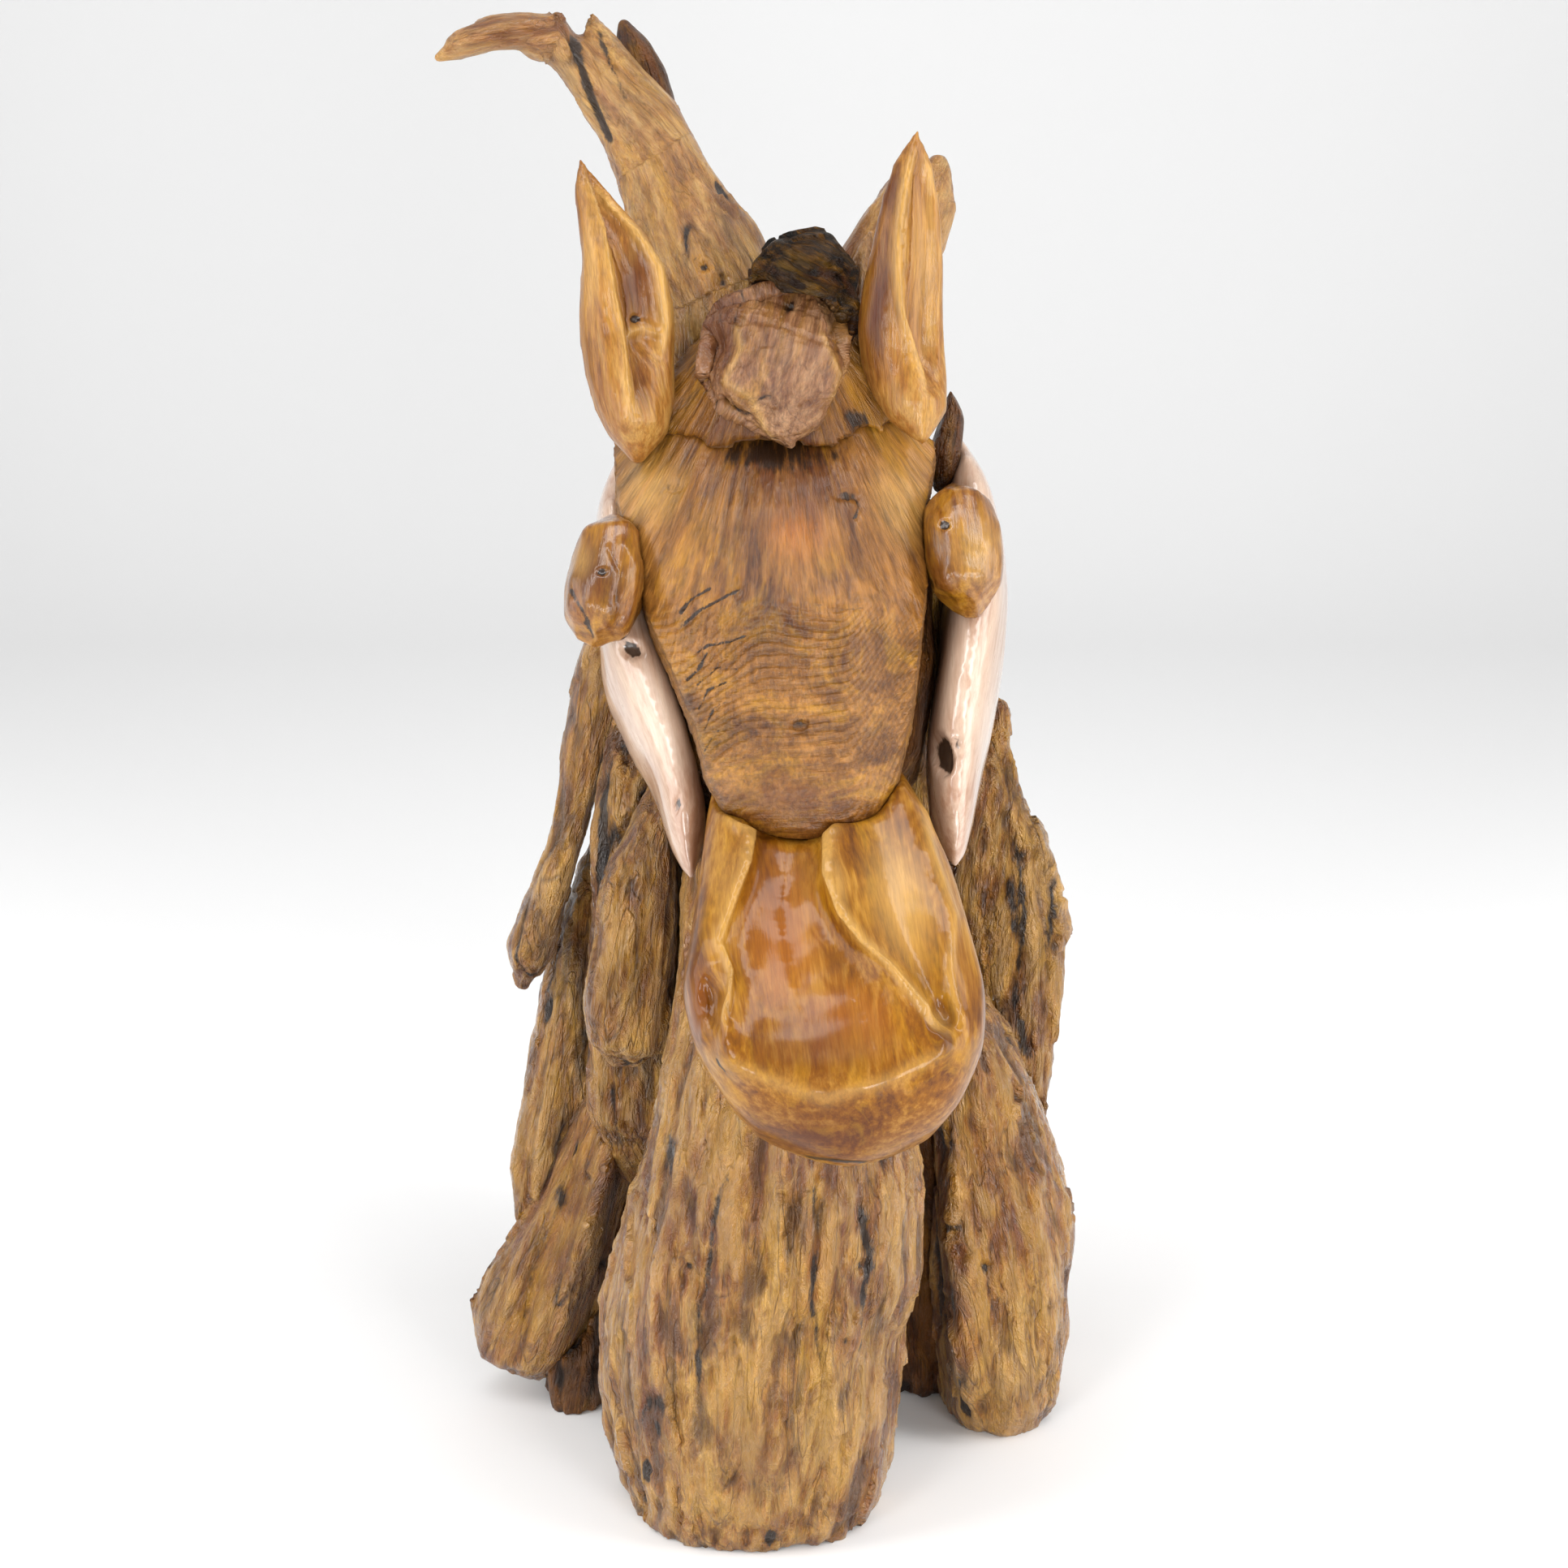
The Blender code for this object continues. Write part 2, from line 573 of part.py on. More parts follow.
def make_mane_top(neck):
    """The flame of the mane: one weathered root with a curled horn, and the small pieces round it."""
    flame = loft("mane_flame", neck, "honey", [
        (-3.4, 7.0, 70.0, 4.2, 4.0),
        (-3.9, 7.6, 73.2, 4.6, 4.4),
        (-4.4, 8.6, 76.0, 4.8, 4.2),
        (-5.4, 9.8, 79.0, 4.3, 3.6),
        (-6.9, 11.2, 81.8, 3.5, 3.0),
        (-8.5, 12.6, 85.0, 3.0, 2.4),
        (-9.9, 13.4, 87.8, 2.7, 1.9),
        (-11.3, 14.0, 90.2, 2.0, 1.5),
        (-12.3, 14.5, 92.6, 1.3, 1.0),
        (-12.9, 14.8, 94.9, 0.4, 0.5),
    ], sides=10, rings=12, power=2.1, rough=0.05,
        ridges=[(140, 120, 0.2, 20, 0.0, 0.9), (60, 70, 0.15, 25, 0.1, 0.9), (-60, -90, 0.2, 30, 0.1, 0.9)],
        ends=(0.0, 0.8))
    horn = loft("horn", neck, "tan", [
        (-10.6, 13.2, 86.0, 1.2, 1.4),
        (-12.1, 13.6, 88.6, 1.3, 1.5),
        (-13.4, 13.8, 91.0, 1.4, 1.6),
        (-15.4, 13.6, 93.2, 1.4, 1.7),
        (-17.6, 13.2, 93.6, 1.1, 1.5),
        (-19.8, 12.8, 93.4, 1.2, 1.4),
        (-21.8, 12.4, 92.5, 0.8, 1.0),
        (-23.0, 12.2, 91.8, 0.4, 0.6),
    ], sides=7, rings=9, power=2.0, rough=0.05, ends=(0.8, 0.6))
    thorn = loft("thorn", neck, "tan", [
        (-15.6, 13.7, 91.6, 1.6, 1.2),
        (-15.2, 13.8, 93.2, 1.0, 0.9),
        (-14.8, 13.9, 94.9, 0.3, 0.4),
    ], sides=6, rings=4, power=2.0, rough=0.02)
    strip = loft("mane_strip", neck, "bark", [
        (-7.6, 15.0, 84.5, 1.2, 1.4),
        (-8.2, 15.6, 87.4, 1.2, 1.4),
        (-9.0, 16.2, 90.0, 1.3, 1.3),
        (-10.2, 16.6, 92.4, 1.2, 1.2),
        (-10.9, 16.8, 94.2, 1.0, 0.9),
    ], sides=8, rings=6, power=2.4, rough=0.05, ends=(0.8, 0.3))
    wedge = loft("mane_wedge", neck, "tan", [
        (4.8, 7.0, 73.4, 2.2, 2.3),
        (5.4, 7.4, 75.4, 2.6, 2.4),
        (6.6, 8.2, 78.4, 3.2, 2.4),
        (7.8, 9.0, 81.0, 3.0, 2.1),
        (9.2, 9.6, 83.6, 2.4, 1.7),
        (10.4, 10.0, 85.8, 1.7, 1.1),
    ], sides=8, rings=6, power=2.2, rough=0.05, ends=(0.0, 1.0))
    sliver = loft("mane_sliver", neck, "tan", [
        (4.7, 4.8, 74.6, 0.7, 1.2),
        (4.8, 5.2, 77.0, 0.8, 1.2),
        (5.1, 5.8, 79.4, 0.7, 0.9),
        (5.6, 6.2, 81.4, 0.2, 0.3),
    ], sides=6, rings=5, power=2.2, rough=0.04)
    return fuse(flame, horn, thorn), strip, wedge, sliver


def make_skull(head, neck):
    """What the face, cheeks and ears are fixed to: the crown and the dark block behind the face."""
    crown = loft("crown", neck, "bark", [
        (-0.6, 2.0, 66.0, 9.6, 6.0),
        (-0.4, 2.4, 69.4, 8.6, 6.0),
        (-0.2, 3.4, 72.6, 7.2, 5.2),
        (-0.4, 4.8, 75.2, 5.4, 4.2),
        (-0.8, 5.6, 77.0, 3.4, 3.0),
    ], sides=8, rings=5, power=2.3, rough=0.06, ends=(0.0, 1.2))
    skull = loft("skull_block", head, "bark", along_face([
        (-4.0, 0.4, -10.5, 8.6, 5.2),
        (2.0, 0.6, -11.2, 9.8, 6.4),
        (8.0, 0.8, -10.8, 9.6, 6.4),
        (14.0, 1.0, -9.8, 8.6, 5.4),
        (20.0, 1.6, -8.9, 7.4, 4.3),
        (27.0, 2.4, -8.4, 6.4, 2.9),
    ]), sides=8, rings=5, power=2.6, rough=0.03, ends=(1.0, 1.0), face=UP)
    chip = loft("temple_chip", neck, "bark", [
        (10.2, 4.2, 64.5, 1.2, 1.8),
        (10.6, 3.8, 67.6, 1.1, 1.7),
        (11.0, 3.4, 70.0, 0.7, 1.2),
        (10.8, 3.2, 71.4, 0.2, 0.4),
    ], sides=6, rings=5, power=2.4, rough=0.05, ends=(1.0, 0.0))
    return crown, skull, chip


def make_chest(neck):
    """The front trunk and the pieces that stand beside it."""
    trunk = loft("chest_trunk", neck, "honey", [
        (-2.4, -12.2, -1.5, 7.8, 7.8),
        (-1.9, -12.3, 3.0, 9.5, 8.5),
        (-1.8, -12.2, 7.5, 9.9, 8.9),
        (-1.9, -11.8, 12.0, 9.8, 8.8),
        (-0.9, -11.5, 17.0, 10.0, 8.7),
        (-0.5, -11.0, 23.0, 9.1, 8.4),
        (-0.4, -10.0, 30.5, 7.3, 7.8),
        (-0.6, -9.0, 37.0, 6.2, 7.0),
        (-0.6, -7.6, 43.5, 5.6, 6.2),
        (-0.4, -6.0, 51.0, 5.2, 5.8),
    ], sides=15, rings=12, power=2.2, rough=0.035,
        ridges=[(25, 20, 0.10, 14, 0.28, 0.55), (70, 80, 0.05, 12, 0.0, 0.7), (120, 112, 0.06, 14, 0.1, 0.9),
                (5, 10, -0.08, 12, 0.0, 0.3), (150, 150, -0.05, 12, 0.0, 0.5)])
    leg = loft("leg_right", neck, "honey", [
        (14.7, 2.8, -1.5, 3.6, 6.2),
        (15.2, 2.6, 1.0, 4.4, 7.2),
        (15.1, 2.8, 5.0, 4.8, 7.8),
        (14.8, 3.0, 9.5, 4.9, 8.0),
        (14.5, 3.0, 14.0, 4.9, 8.0),
        (13.9, 2.6, 19.0, 4.4, 7.4),
        (12.9, 2.0, 23.6, 3.7, 6.6),
        (11.6, 1.0, 28.0, 3.2, 5.6),
        (9.6, 0.0, 32.0, 2.4, 4.4),
    ], sides=11, rings=11, power=2.3, rough=0.07,
        ridges=[(112, 108, 0.22, 18, 0.05, 0.9), (60, 70, -0.12, 18, 0.25, 0.8), (30, 20, 0.12, 16, 0.1, 0.8)],
        ends=(0.0, 2.0))
    wing = loft("wing_left", neck, "honey", [
        (-17.6, 3.2, 0.6, 0.9, 1.6),
        (-18.2, 3.0, 2.8, 3.2, 2.5),
        (-17.9, 2.8, 5.0, 4.1, 3.0),
        (-16.0, 2.0, 10.0, 3.7, 3.2),
        (-13.9, 1.0, 15.3, 2.8, 3.4),
        (-12.2, 0.2, 20.6, 2.3, 3.3),
        (-10.9, 0.0, 25.6, 1.6, 2.6),
    ], sides=11, rings=11, power=2.2, rough=0.05,
        ridges=[(175, 165, 0.12, 20, 0.1, 1.0), (115, 120, -0.22, 20, 0.1, 0.9), (75, 70, 0.25, 18, 0.0, 1.0)],
        ends=(0.8, 0.8))
    foot = loft("foot_left", neck, "bark", [
        (-14.9, 2.6, -1.5, 2.1, 3.8),
        (-14.7, 3.2, 2.0, 2.2, 4.2),
        (-14.1, 4.2, 7.0, 2.0, 3.6),
        (-13.0, 4.2, 12.5, 1.7, 3.0),
        (-11.6, 4.0, 17.0, 1.2, 2.2),
    ], sides=9, rings=7, power=2.3, rough=0.08, ends=(0.0, 1.5))
    chunk = loft("shoulder_chunk", neck, "rosy", [
        (-10.7, -6.0, 28.2, 1.5, 1.9),
        (-10.3, -6.0, 29.9, 2.6, 3.0),
        (-10.2, -6.0, 32.6, 2.9, 3.4),
        (-9.6, -6.0, 36.8, 2.7, 3.4),
        (-9.2, -6.0, 41.0, 2.4, 3.0),
        (-8.6, -6.0, 44.0, 1.5, 2.4),
        (-8.0, -5.6, 48.0, 0.8, 1.8),
    ], sides=9, rings=10, power=2.5, rough=0.06, ridges=[(130, 125, 0.12, 22, 0.1, 0.9)], ends=(0.6, 0.6))
    return trunk, leg, wing, foot, chunk


def make_neck_slabs(neck):
    """The weathered slabs that stand round the trunk as the sides of the neck."""
    strip = loft("strip_left", neck, "honey", [
        (-17.8, 0.0, 31.2, 0.9, 0.9),
        (-17.1, 0.0, 34.0, 1.4, 1.6),
        (-16.3, 0.0, 36.4, 1.4, 1.9),
        (-15.4, 0.2, 39.2, 1.2, 2.1),
        (-14.4, 0.4, 42.4, 1.2, 2.2),
        (-13.5, 0.6, 46.2, 1.3, 2.3),
        (-12.8, 0.8, 49.2, 1.5, 2.4),
        (-11.9, 1.0, 52.4, 1.7, 2.4),
        (-11.0, 1.4, 56.0, 1.5, 2.2),
        (-10.4, 2.0, 59.5, 0.9, 1.6),
    ], sides=8, rings=11, power=2.2, rough=0.06, ends=(0.5, 1.0))
    inner = loft("slab_left_inner", neck, "bark", [
        (-10.3, -1.6, 18.0, 2.6, 2.6),
        (-9.9, -2.0, 24.0, 3.4, 3.0),
        (-9.7, -2.4, 31.0, 3.5, 3.0),
        (-9.5, -2.4, 38.0, 3.2, 3.0),
        (-9.5, -2.2, 45.0, 3.2, 2.8),
        (-9.9, -1.4, 52.0, 2.6, 2.4),
    ], sides=8, rings=7, power=2.6, rough=0.06,
        ridges=[(110, 105, -0.16, 16, 0.1, 0.9), (70, 78, -0.12, 14, 0.1, 0.9)], ends=(1.0, 1.0))
    back_left = loft("slab_left_back", neck, "bark", [
        (-15.4, 3.2, 9.0, 2.2, 2.4),
        (-15.8, 3.0, 12.4, 3.1, 2.8),
        (-15.7, 3.0, 16.7, 3.1, 3.0),
        (-15.0, 3.0, 23.4, 2.8, 3.0),
        (-14.2, 3.0, 29.7, 2.3, 3.0),
        (-13.5, 3.0, 34.4, 1.9, 2.8),
        (-13.0, 3.0, 38.1, 1.0, 2.2),
        (-13.0, 2.8, 41.2, 0.4, 0.9),
    ], sides=8, rings=9, power=2.3, rough=0.06, ends=(1.0, 0.4))
    right = loft("slab_right", neck, "bark", [
        (13.0, 8.4, -1.5, 3.6, 3.4),
        (13.2, 8.4, 6.0, 4.1, 3.6),
        (13.6, 8.2, 14.0, 4.3, 3.6),
        (13.9, 8.0, 20.5, 4.4, 3.6),
        (14.3, 8.0, 26.0, 4.6, 3.6),
        (14.9, 8.0, 31.5, 4.4, 3.4),
        (14.7, 8.0, 37.0, 3.9, 3.0),
        (14.2, 8.0, 41.0, 3.3, 2.6),
        (13.8, 8.0, 44.4, 2.3, 2.2),
        (14.1, 8.0, 47.4, 1.3, 1.4),
        (14.5, 8.0, 49.4, 0.7, 0.8),
    ], sides=9, rings=10, power=2.3, rough=0.07, ridges=[(20, 10, 0.12, 16, 0.3, 0.9), (85, 95, -0.12, 18, 0.2, 0.9)])
    block = loft("block_right", neck, "bark", [
        (9.2, 5.6, -1.5, 3.6, 4.4),
        (9.4, 5.4, 6.0, 3.6, 4.6),
        (9.2, 4.8, 15.0, 3.5, 4.6),
        (8.6, 4.0, 25.0, 3.2, 4.4),
        (7.8, 3.0, 36.0, 2.8, 4.0),
        (7.4, 2.0, 47.0, 2.6, 3.6),
    ], sides=7, rings=6, power=2.6, rough=0.05, ends=(0.0, 1.0))
    return strip, inner, back_left, right, block


def make_back(neck):
    """The plainer back of the neck: a leaning log, side slabs, rear feet and the crest."""
    log = loft("neck_log", neck, "bark", [
        (-0.5, 8.5, -1.5, 8.6, 8.6),
        (-0.5, 9.0, 10.0, 8.4, 8.6),
        (-0.4, 9.6, 22.0, 8.0, 8.4),
        (-0.4, 9.4, 34.0, 7.8, 8.0),
        (-0.4, 8.6, 46.0, 7.6, 7.6),
        (-0.4, 7.2, 57.0, 7.4, 6.8),
        (-0.5, 6.0, 66.0, 6.6, 5.6),
        (-0.6, 5.4, 72.0, 5.2, 4.4),
    ], sides=9, rings=7, power=2.4, rough=0.05,
        ridges=[(-60, -70, 0.08, 16, 0.0, 0.9), (-120, -105, 0.08, 16, 0.0, 0.9)], ends=(0.0, 1.5))
    pieces = [log]
    for side, word in ((-1, "left"), (1, "right")):
        pieces.append(loft(f"neck_side_{word}", neck, "honey", [
            (side * 9.6, 5.0, 34.0, 1.6, 3.0),
            (side * 9.8, 5.4, 40.0, 2.2, 4.2),
            (side * 9.4, 5.0, 48.0, 2.4, 4.8),
            (side * 8.8, 4.6, 56.0, 2.3, 4.6),
            (side * 8.2, 4.6, 63.0, 1.9, 3.6),
            (side * 7.6, 5.2, 68.0, 1.2, 2.2),
        ], sides=7, rings=5, power=2.3, rough=0.07,
            ridges=[(0 if side > 0 else 180, 20 if side > 0 else 160, 0.1, 18, 0.1, 0.9)], ends=(1.2, 1.2)))
        pieces.append(loft(f"rear_foot_{word}", neck, "honey", [
            (side * 9.6, 15.6, -1.5, 4.4, 4.6),
            (side * 9.6, 15.4, 6.0, 4.4, 4.6),
            (side * 9.0, 15.0, 14.0, 4.0, 4.4),
            (side * 8.2, 14.2, 23.0, 3.4, 3.8),
            (side * 7.6, 13.2, 32.0, 2.6, 3.0),
            (side * 7.2, 12.2, 39.0, 1.4, 1.8),
        ], sides=8, rings=6, power=2.3, rough=0.08,
            ridges=[(-60 if side > 0 else 240, -40 if side > 0 else 220, 0.15, 18, 0.0, 0.9)], ends=(0.0, 1.2)))
    pieces.append(loft("crest_low", neck, "honey", [
        (0.6, 19.0, 8.0, 3.0, 1.8),
        (0.4, 19.8, 15.0, 3.8, 2.4),
        (-0.2, 20.4, 24.0, 3.6, 2.8),
        (-1.0, 20.8, 33.0, 2.6, 2.6),
        (-1.8, 22.0, 41.0, 1.2, 1.4),
    ], sides=7, rings=6, power=2.2, rough=0.08, ridges=[(-90, -80, 0.2, 20, 0.0, 1.0)], ends=(1.2, 0.8)))
    pieces.append(loft("crest_middle", neck, "tan", [
        (1.6, 17.0, 30.0, 2.2, 2.0),
        (1.6, 18.0, 38.0, 3.2, 2.8),
        (1.0, 18.0, 47.0, 3.2, 3.2),
        (0.4, 18.4, 55.0, 2.4, 2.8),
        (-0.4, 20.0, 62.5, 1.0, 1.4),
    ], sides=7, rings=6, power=2.2, rough=0.08, ridges=[(-90, -100, 0.2, 20, 0.0, 1.0)], ends=(1.2, 0.8)))
    pieces.append(loft("crest_upper", neck, "honey", [
        (-2.4, 14.6, 50.0, 2.2, 2.0),
        (-2.4, 14.6, 57.0, 3.2, 3.0),
        (-2.4, 13.6, 65.0, 3.4, 3.2),
        (-2.6, 13.4, 72.0, 2.6, 2.8),
        (-3.2, 15.0, 78.5, 1.0, 1.4),
    ], sides=7, rings=6, power=2.2, rough=0.08, ridges=[(-90, -85, 0.2, 20, 0.0, 1.0)], ends=(1.2, 0.8)))
    return pieces


def drill_holes(head, face, left, right):
    """The plugged screw holes and the open knot that show in the polished pieces."""
    plug = PLUG_DIAMETER
    drill(face, head, (0.9, -21.1, 0.4), (0, 0, 1), plug * 1.3, PLUG_DEPTH)
    drill(left, head, (-6.8, -23.0, -5.8), (-0.5, 0, 0.87), plug, PLUG_DEPTH)
    drill(right, head, (11.7, -18.0, -4.6), (0.5, 0, 0.87), plug, PLUG_DEPTH)
    drill(right, head, (10.4, -20.4, -4.7), (0, 0, 1), KNOT_WIDTH, KNOT_DEPTH, stretch=KNOT_LENGTH / KNOT_WIDTH)


def centre_on_floor(root, pieces):
    """Moves the whole so that the middle of its footprint's box is the origin."""
    bpy.context.view_layer.update()
    spans = [span(piece) for piece in pieces]
    low = [min(s[0][i] for s in spans) for i in range(3)]
    high = [max(s[1][i] for s in spans) for i in range(3)]
    root.location = (-(low[0] + high[0]) / 2, -(low[1] + high[1]) / 2, -low[2])
    bpy.context.view_layer.update()


def main():
    root = new_empty("horse_head")
    neck = new_empty("neck", root)
    head = new_empty("head", root, FACE_TOP, FACE_TILT)
    face = make_face(head)
    muzzle = make_muzzle(head)
    eyes = make_eyes(head)
    ears = make_ears(neck)
    chunk, knob = make_forelock(head, neck)
    cheeks = make_cheeks(head)
    mane = make_mane_top(neck)
    skull = make_skull(head, neck)
    chest = make_chest(neck)
    slabs = make_neck_slabs(neck)
    back = make_back(neck)
    trunk, leg, wing, foot, shoulder = chest
    strip_left, inner, back_left, slab_right, block = slabs
    log = back[0]
    rear_feet = [piece for piece in back if piece.name.startswith("rear_foot")]
    bpy.context.view_layer.update()
    level_feet([trunk, leg, foot, slab_right, block, log, *rear_feet])
    drill_holes(head, face, *cheeks)
    flame, strip, wedge, sliver = mane
    pieces = [
        *back, block, face, *skull, inner, *chest, strip_left, back_left, slab_right, *cheeks, muzzle, *eyes,
        flame, *ears, chunk, knob, strip, wedge, sliver,
    ]
    scribe(pieces)
    for piece in pieces:
        piece.data.shade_smooth()
        piece.data.set_sharp_from_angle(angle=math.radians(50))
    centre_on_floor(root, pieces)


clear_scene()
PARTS = new_collection("driftwood_horse_head")
main()
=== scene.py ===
"""The driftwood horse head as it looks: every solid of the frame becomes weathered or polished wood."""

import math
from itertools import product

import bpy
import numpy as np
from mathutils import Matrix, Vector


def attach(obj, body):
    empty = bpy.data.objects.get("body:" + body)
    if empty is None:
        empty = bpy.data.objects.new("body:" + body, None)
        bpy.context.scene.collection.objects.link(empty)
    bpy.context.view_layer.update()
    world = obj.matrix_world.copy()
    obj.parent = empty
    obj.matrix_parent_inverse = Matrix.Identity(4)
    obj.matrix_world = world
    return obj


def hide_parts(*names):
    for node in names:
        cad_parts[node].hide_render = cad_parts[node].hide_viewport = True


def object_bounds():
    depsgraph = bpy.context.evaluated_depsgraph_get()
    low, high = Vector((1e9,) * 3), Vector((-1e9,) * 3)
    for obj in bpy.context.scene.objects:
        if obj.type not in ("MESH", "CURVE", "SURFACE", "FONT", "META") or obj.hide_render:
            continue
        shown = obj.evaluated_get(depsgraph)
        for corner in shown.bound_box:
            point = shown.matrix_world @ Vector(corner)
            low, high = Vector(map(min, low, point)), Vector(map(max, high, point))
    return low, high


# The photograph's camera, in the part's frame
SHIFT = np.array((0.0147, 0.0468, 0.0))  # from the drawing's origin to the part's
CAMERA = np.array((0.0, -2.104, 1.093)) + SHIFT
PITCH = math.radians(16.8)
FOCAL = 4088.0
FRAME = 1932.0
SENSOR = 36.0  # millimetres
MM = 0.001
ALBEDO = 0.72  # the bare wood is darker than its lit colour in the photograph
SATURATION = 1.22  # and deeper in colour, without the shine on it
DARKEST = 0.002  # no wood is blacker than this


def srgb(*rgb):
    """A colour of the lit wood on the screen, 0 to 255, as the bare wood's linear colour."""
    share = [c / 255 for c in rgb]
    linear = [c / 12.92 if c <= 0.04045 else ((c + 0.055) / 1.055) ** 2.4 for c in share]
    grey = sum(linear) / 3
    return [max(DARKEST, ALBEDO * (grey + SATURATION * (c - grey))) for c in linear] + [1.0]


# Noise

HASH = (374761393, 668265263, 1103515245)  # large odd numbers, one for each direction
HASH_SEED = 1274126177  # and one for the seed
HASH_BITS = 0xFFFFFFFF
TEN_BITS = 1023
NOISE_GAIN = 1.3  # brings the noise to about -1 to 1


def gradient(cell, seed):
    """Three repeatable numbers from -1 to 1 for every whole-number point."""
    n = cell.astype(np.int64)
    h = (n[:, 0] * HASH[0] + n[:, 1] * HASH[1] + n[:, 2] * HASH[2] + seed * HASH_SEED) & HASH_BITS
    h = ((h ^ (h >> 13)) * HASH_SEED) & HASH_BITS
    h = h ^ (h >> 16)
    return np.stack([h & TEN_BITS, (h >> 10) & TEN_BITS, (h >> 20) & TEN_BITS], axis=1) / (TEN_BITS / 2) - 1


def noise(points, seed=0):
    """Smooth noise from about -1 to 1."""
    cell = np.floor(points)
    f = points - cell
    u = f * f * f * (f * (f * 6 - 15) + 10)
    total = np.zeros(len(points))
    for corner in product((0, 1), repeat=3):
        c = np.array(corner)
        weight = np.prod(np.where(c, u, 1 - u), axis=1)
        total += weight * ((f - c) * gradient(cell + c, seed)).sum(axis=1)
    return total * NOISE_GAIN


def facets(points, seed=0):
    """Broken flat faces: each cell has a plane of its own."""
    cell = np.floor(points)
    best = np.full(len(points), 9.0)
    height = np.zeros(len(points))
    for offset in product((-1, 0, 1), repeat=3):
        home = cell + np.array(offset)
        centre = home + 0.5 + 0.45 * gradient(home, seed)
        away = ((points - centre) ** 2).sum(axis=1)
        slope = gradient(home, seed + 7)
        plane = ((points - centre) * slope).sum(axis=1) + 0.5 * slope[:, 0]
        nearer = away < best
        best = np.where(nearer, away, best)
        height = np.where(nearer, plane, height)
    return height


def soft(low, high, value):
    """0 below low, 1 above high and smooth between."""
    t = np.clip((value - low) / (high - low), 0, 1)
    return t * t * (3 - 2 * t)


# Places on the photograph

LINE_ENDS = 0.12  # the share of a line over which it fades in and out
STEP_ENDS = 0.15
BEND_ENDS = 0.1
STEP_EDGE = 5  # pixels over which a step drops


def seen(points):
    """Where points show in the photograph, in its pixels."""
    rel = points - CAMERA
    ahead = rel[:, 1] * math.cos(PITCH) - rel[:, 2] * math.sin(PITCH)
    up = rel[:, 1] * math.sin(PITCH) + rel[:, 2] * math.cos(PITCH)
    return np.stack([FRAME / 2 + FOCAL * rel[:, 0] / ahead, FRAME / 2 - FOCAL * up / ahead], axis=1)


def along_line(place, line):
    """Pixels from a line, the side (1 is right of a line drawn downwards) and the share of it passed."""
    line = np.array(line, float)
    lengths = np.linalg.norm(np.diff(line, axis=0), axis=1)
    total = lengths.sum()
    best = np.full(len(place), 1e9)
    side = np.zeros(len(place))
    share = np.zeros(len(place))
    passed = 0.0
    for a, b, length in zip(line, line[1:], lengths):
        step = (b - a) / length
        t = np.clip((place - a) @ step, 0, length)
        gap = place - a - t[:, None] * step
        away = np.linalg.norm(gap, axis=1)
        nearer = away < best
        best = np.where(nearer, away, best)
        side = np.where(nearer, np.sign(step[1] * gap[:, 0] - step[0] * gap[:, 1]), side)
        share = np.where(nearer, (passed + t) / total, share)
        passed += length
    return best, side, share


def ends(share, reach):
    """Fades a line in and out over reach, a share of its length."""
    return soft(-0.001, reach, share) * soft(-0.001, reach, 1 - share)


def profile(place, line, width, side_width=None):
    """1 on a line, falling to 0 over its width; side_width is its width on the right."""
    away, side, share = along_line(place, line)
    reach = np.where(side < 0, width, side_width or width)
    return np.exp(-((away / reach) ** 2)) * ends(share, LINE_ENDS)


def spot(place, centre, radii, turn=0.0, edge=1.0):
    """1 in an oval spot and 0 outside it; a small edge gives it a sharp rim."""
    c, s = math.cos(math.radians(turn)), math.sin(math.radians(turn))
    x = place[:, 0] - centre[0]
    y = place[:, 1] - centre[1]
    q = np.sqrt(((x * c + y * s) / radii[0]) ** 2 + ((y * c - x * s) / radii[1]) ** 2)
    return soft(0, edge, 1 - q)


# Meshes

WELD = 0.00001  # metres between two corners that are one
RELAX = 0.5  # how far one round of smoothing moves a corner towards its neighbours
SAMPLE = 4000  # corners enough to find a piece's long axis

def evaluated(obj):
    """An object's mesh with its modifiers applied."""
    bpy.context.view_layer.update()
    graph = bpy.context.evaluated_depsgraph_get()
    return bpy.data.meshes.new_from_object(obj.evaluated_get(graph))


def fine_mesh(node, voxel, spread):
    """A copy of a solid as an even mesh, with edges and facets narrower than spread (mm) worn away."""
    made = bpy.data.objects.new(f"{node}_wood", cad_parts[node].data.copy())
    bpy.context.scene.collection.objects.link(made)
    weld = made.modifiers.new("weld", "WELD")
    weld.merge_threshold = WELD
    remesh = made.modifiers.new("remesh", "REMESH")
    remesh.mode = "VOXEL"
    remesh.voxel_size = voxel * MM
    even = evaluated(made)
    made.modifiers.clear()
    made.data = even
    steps = max(1, round(4 * (spread / voxel) ** 2))
    relax = made.modifiers.new("relax", "SMOOTH")
    relax.factor = RELAX
    relax.iterations = steps
    once = read(evaluated(made), "co")
    relax.iterations = 2 * steps
    twice = read(evaluated(made), "co")
    made.modifiers.clear()
    even.vertices.foreach_set("co", (2 * once - twice).ravel())
    even.update()
    made.modifiers.new("finer", "SUBSURF").levels = 1
    made.data = evaluated(made)
    made.modifiers.clear()
    made.data.name = made.name
    return made


def read(mesh, what):
    """The places or normals of a mesh's corners."""
    values = np.empty(len(mesh.vertices) * 3)
    mesh.vertices.foreach_get(what, values)
    return values.reshape(-1, 3)


def write_attribute(mesh, name, values):
    """Stores one number or vector on every corner, for the material."""
    kind = "FLOAT_VECTOR" if values.ndim == 2 else "FLOAT"
    layer = mesh.attributes.new(name, kind, "POINT")
    layer.data.foreach_set("vector" if values.ndim == 2 else "value", values.astype(np.float32).ravel())


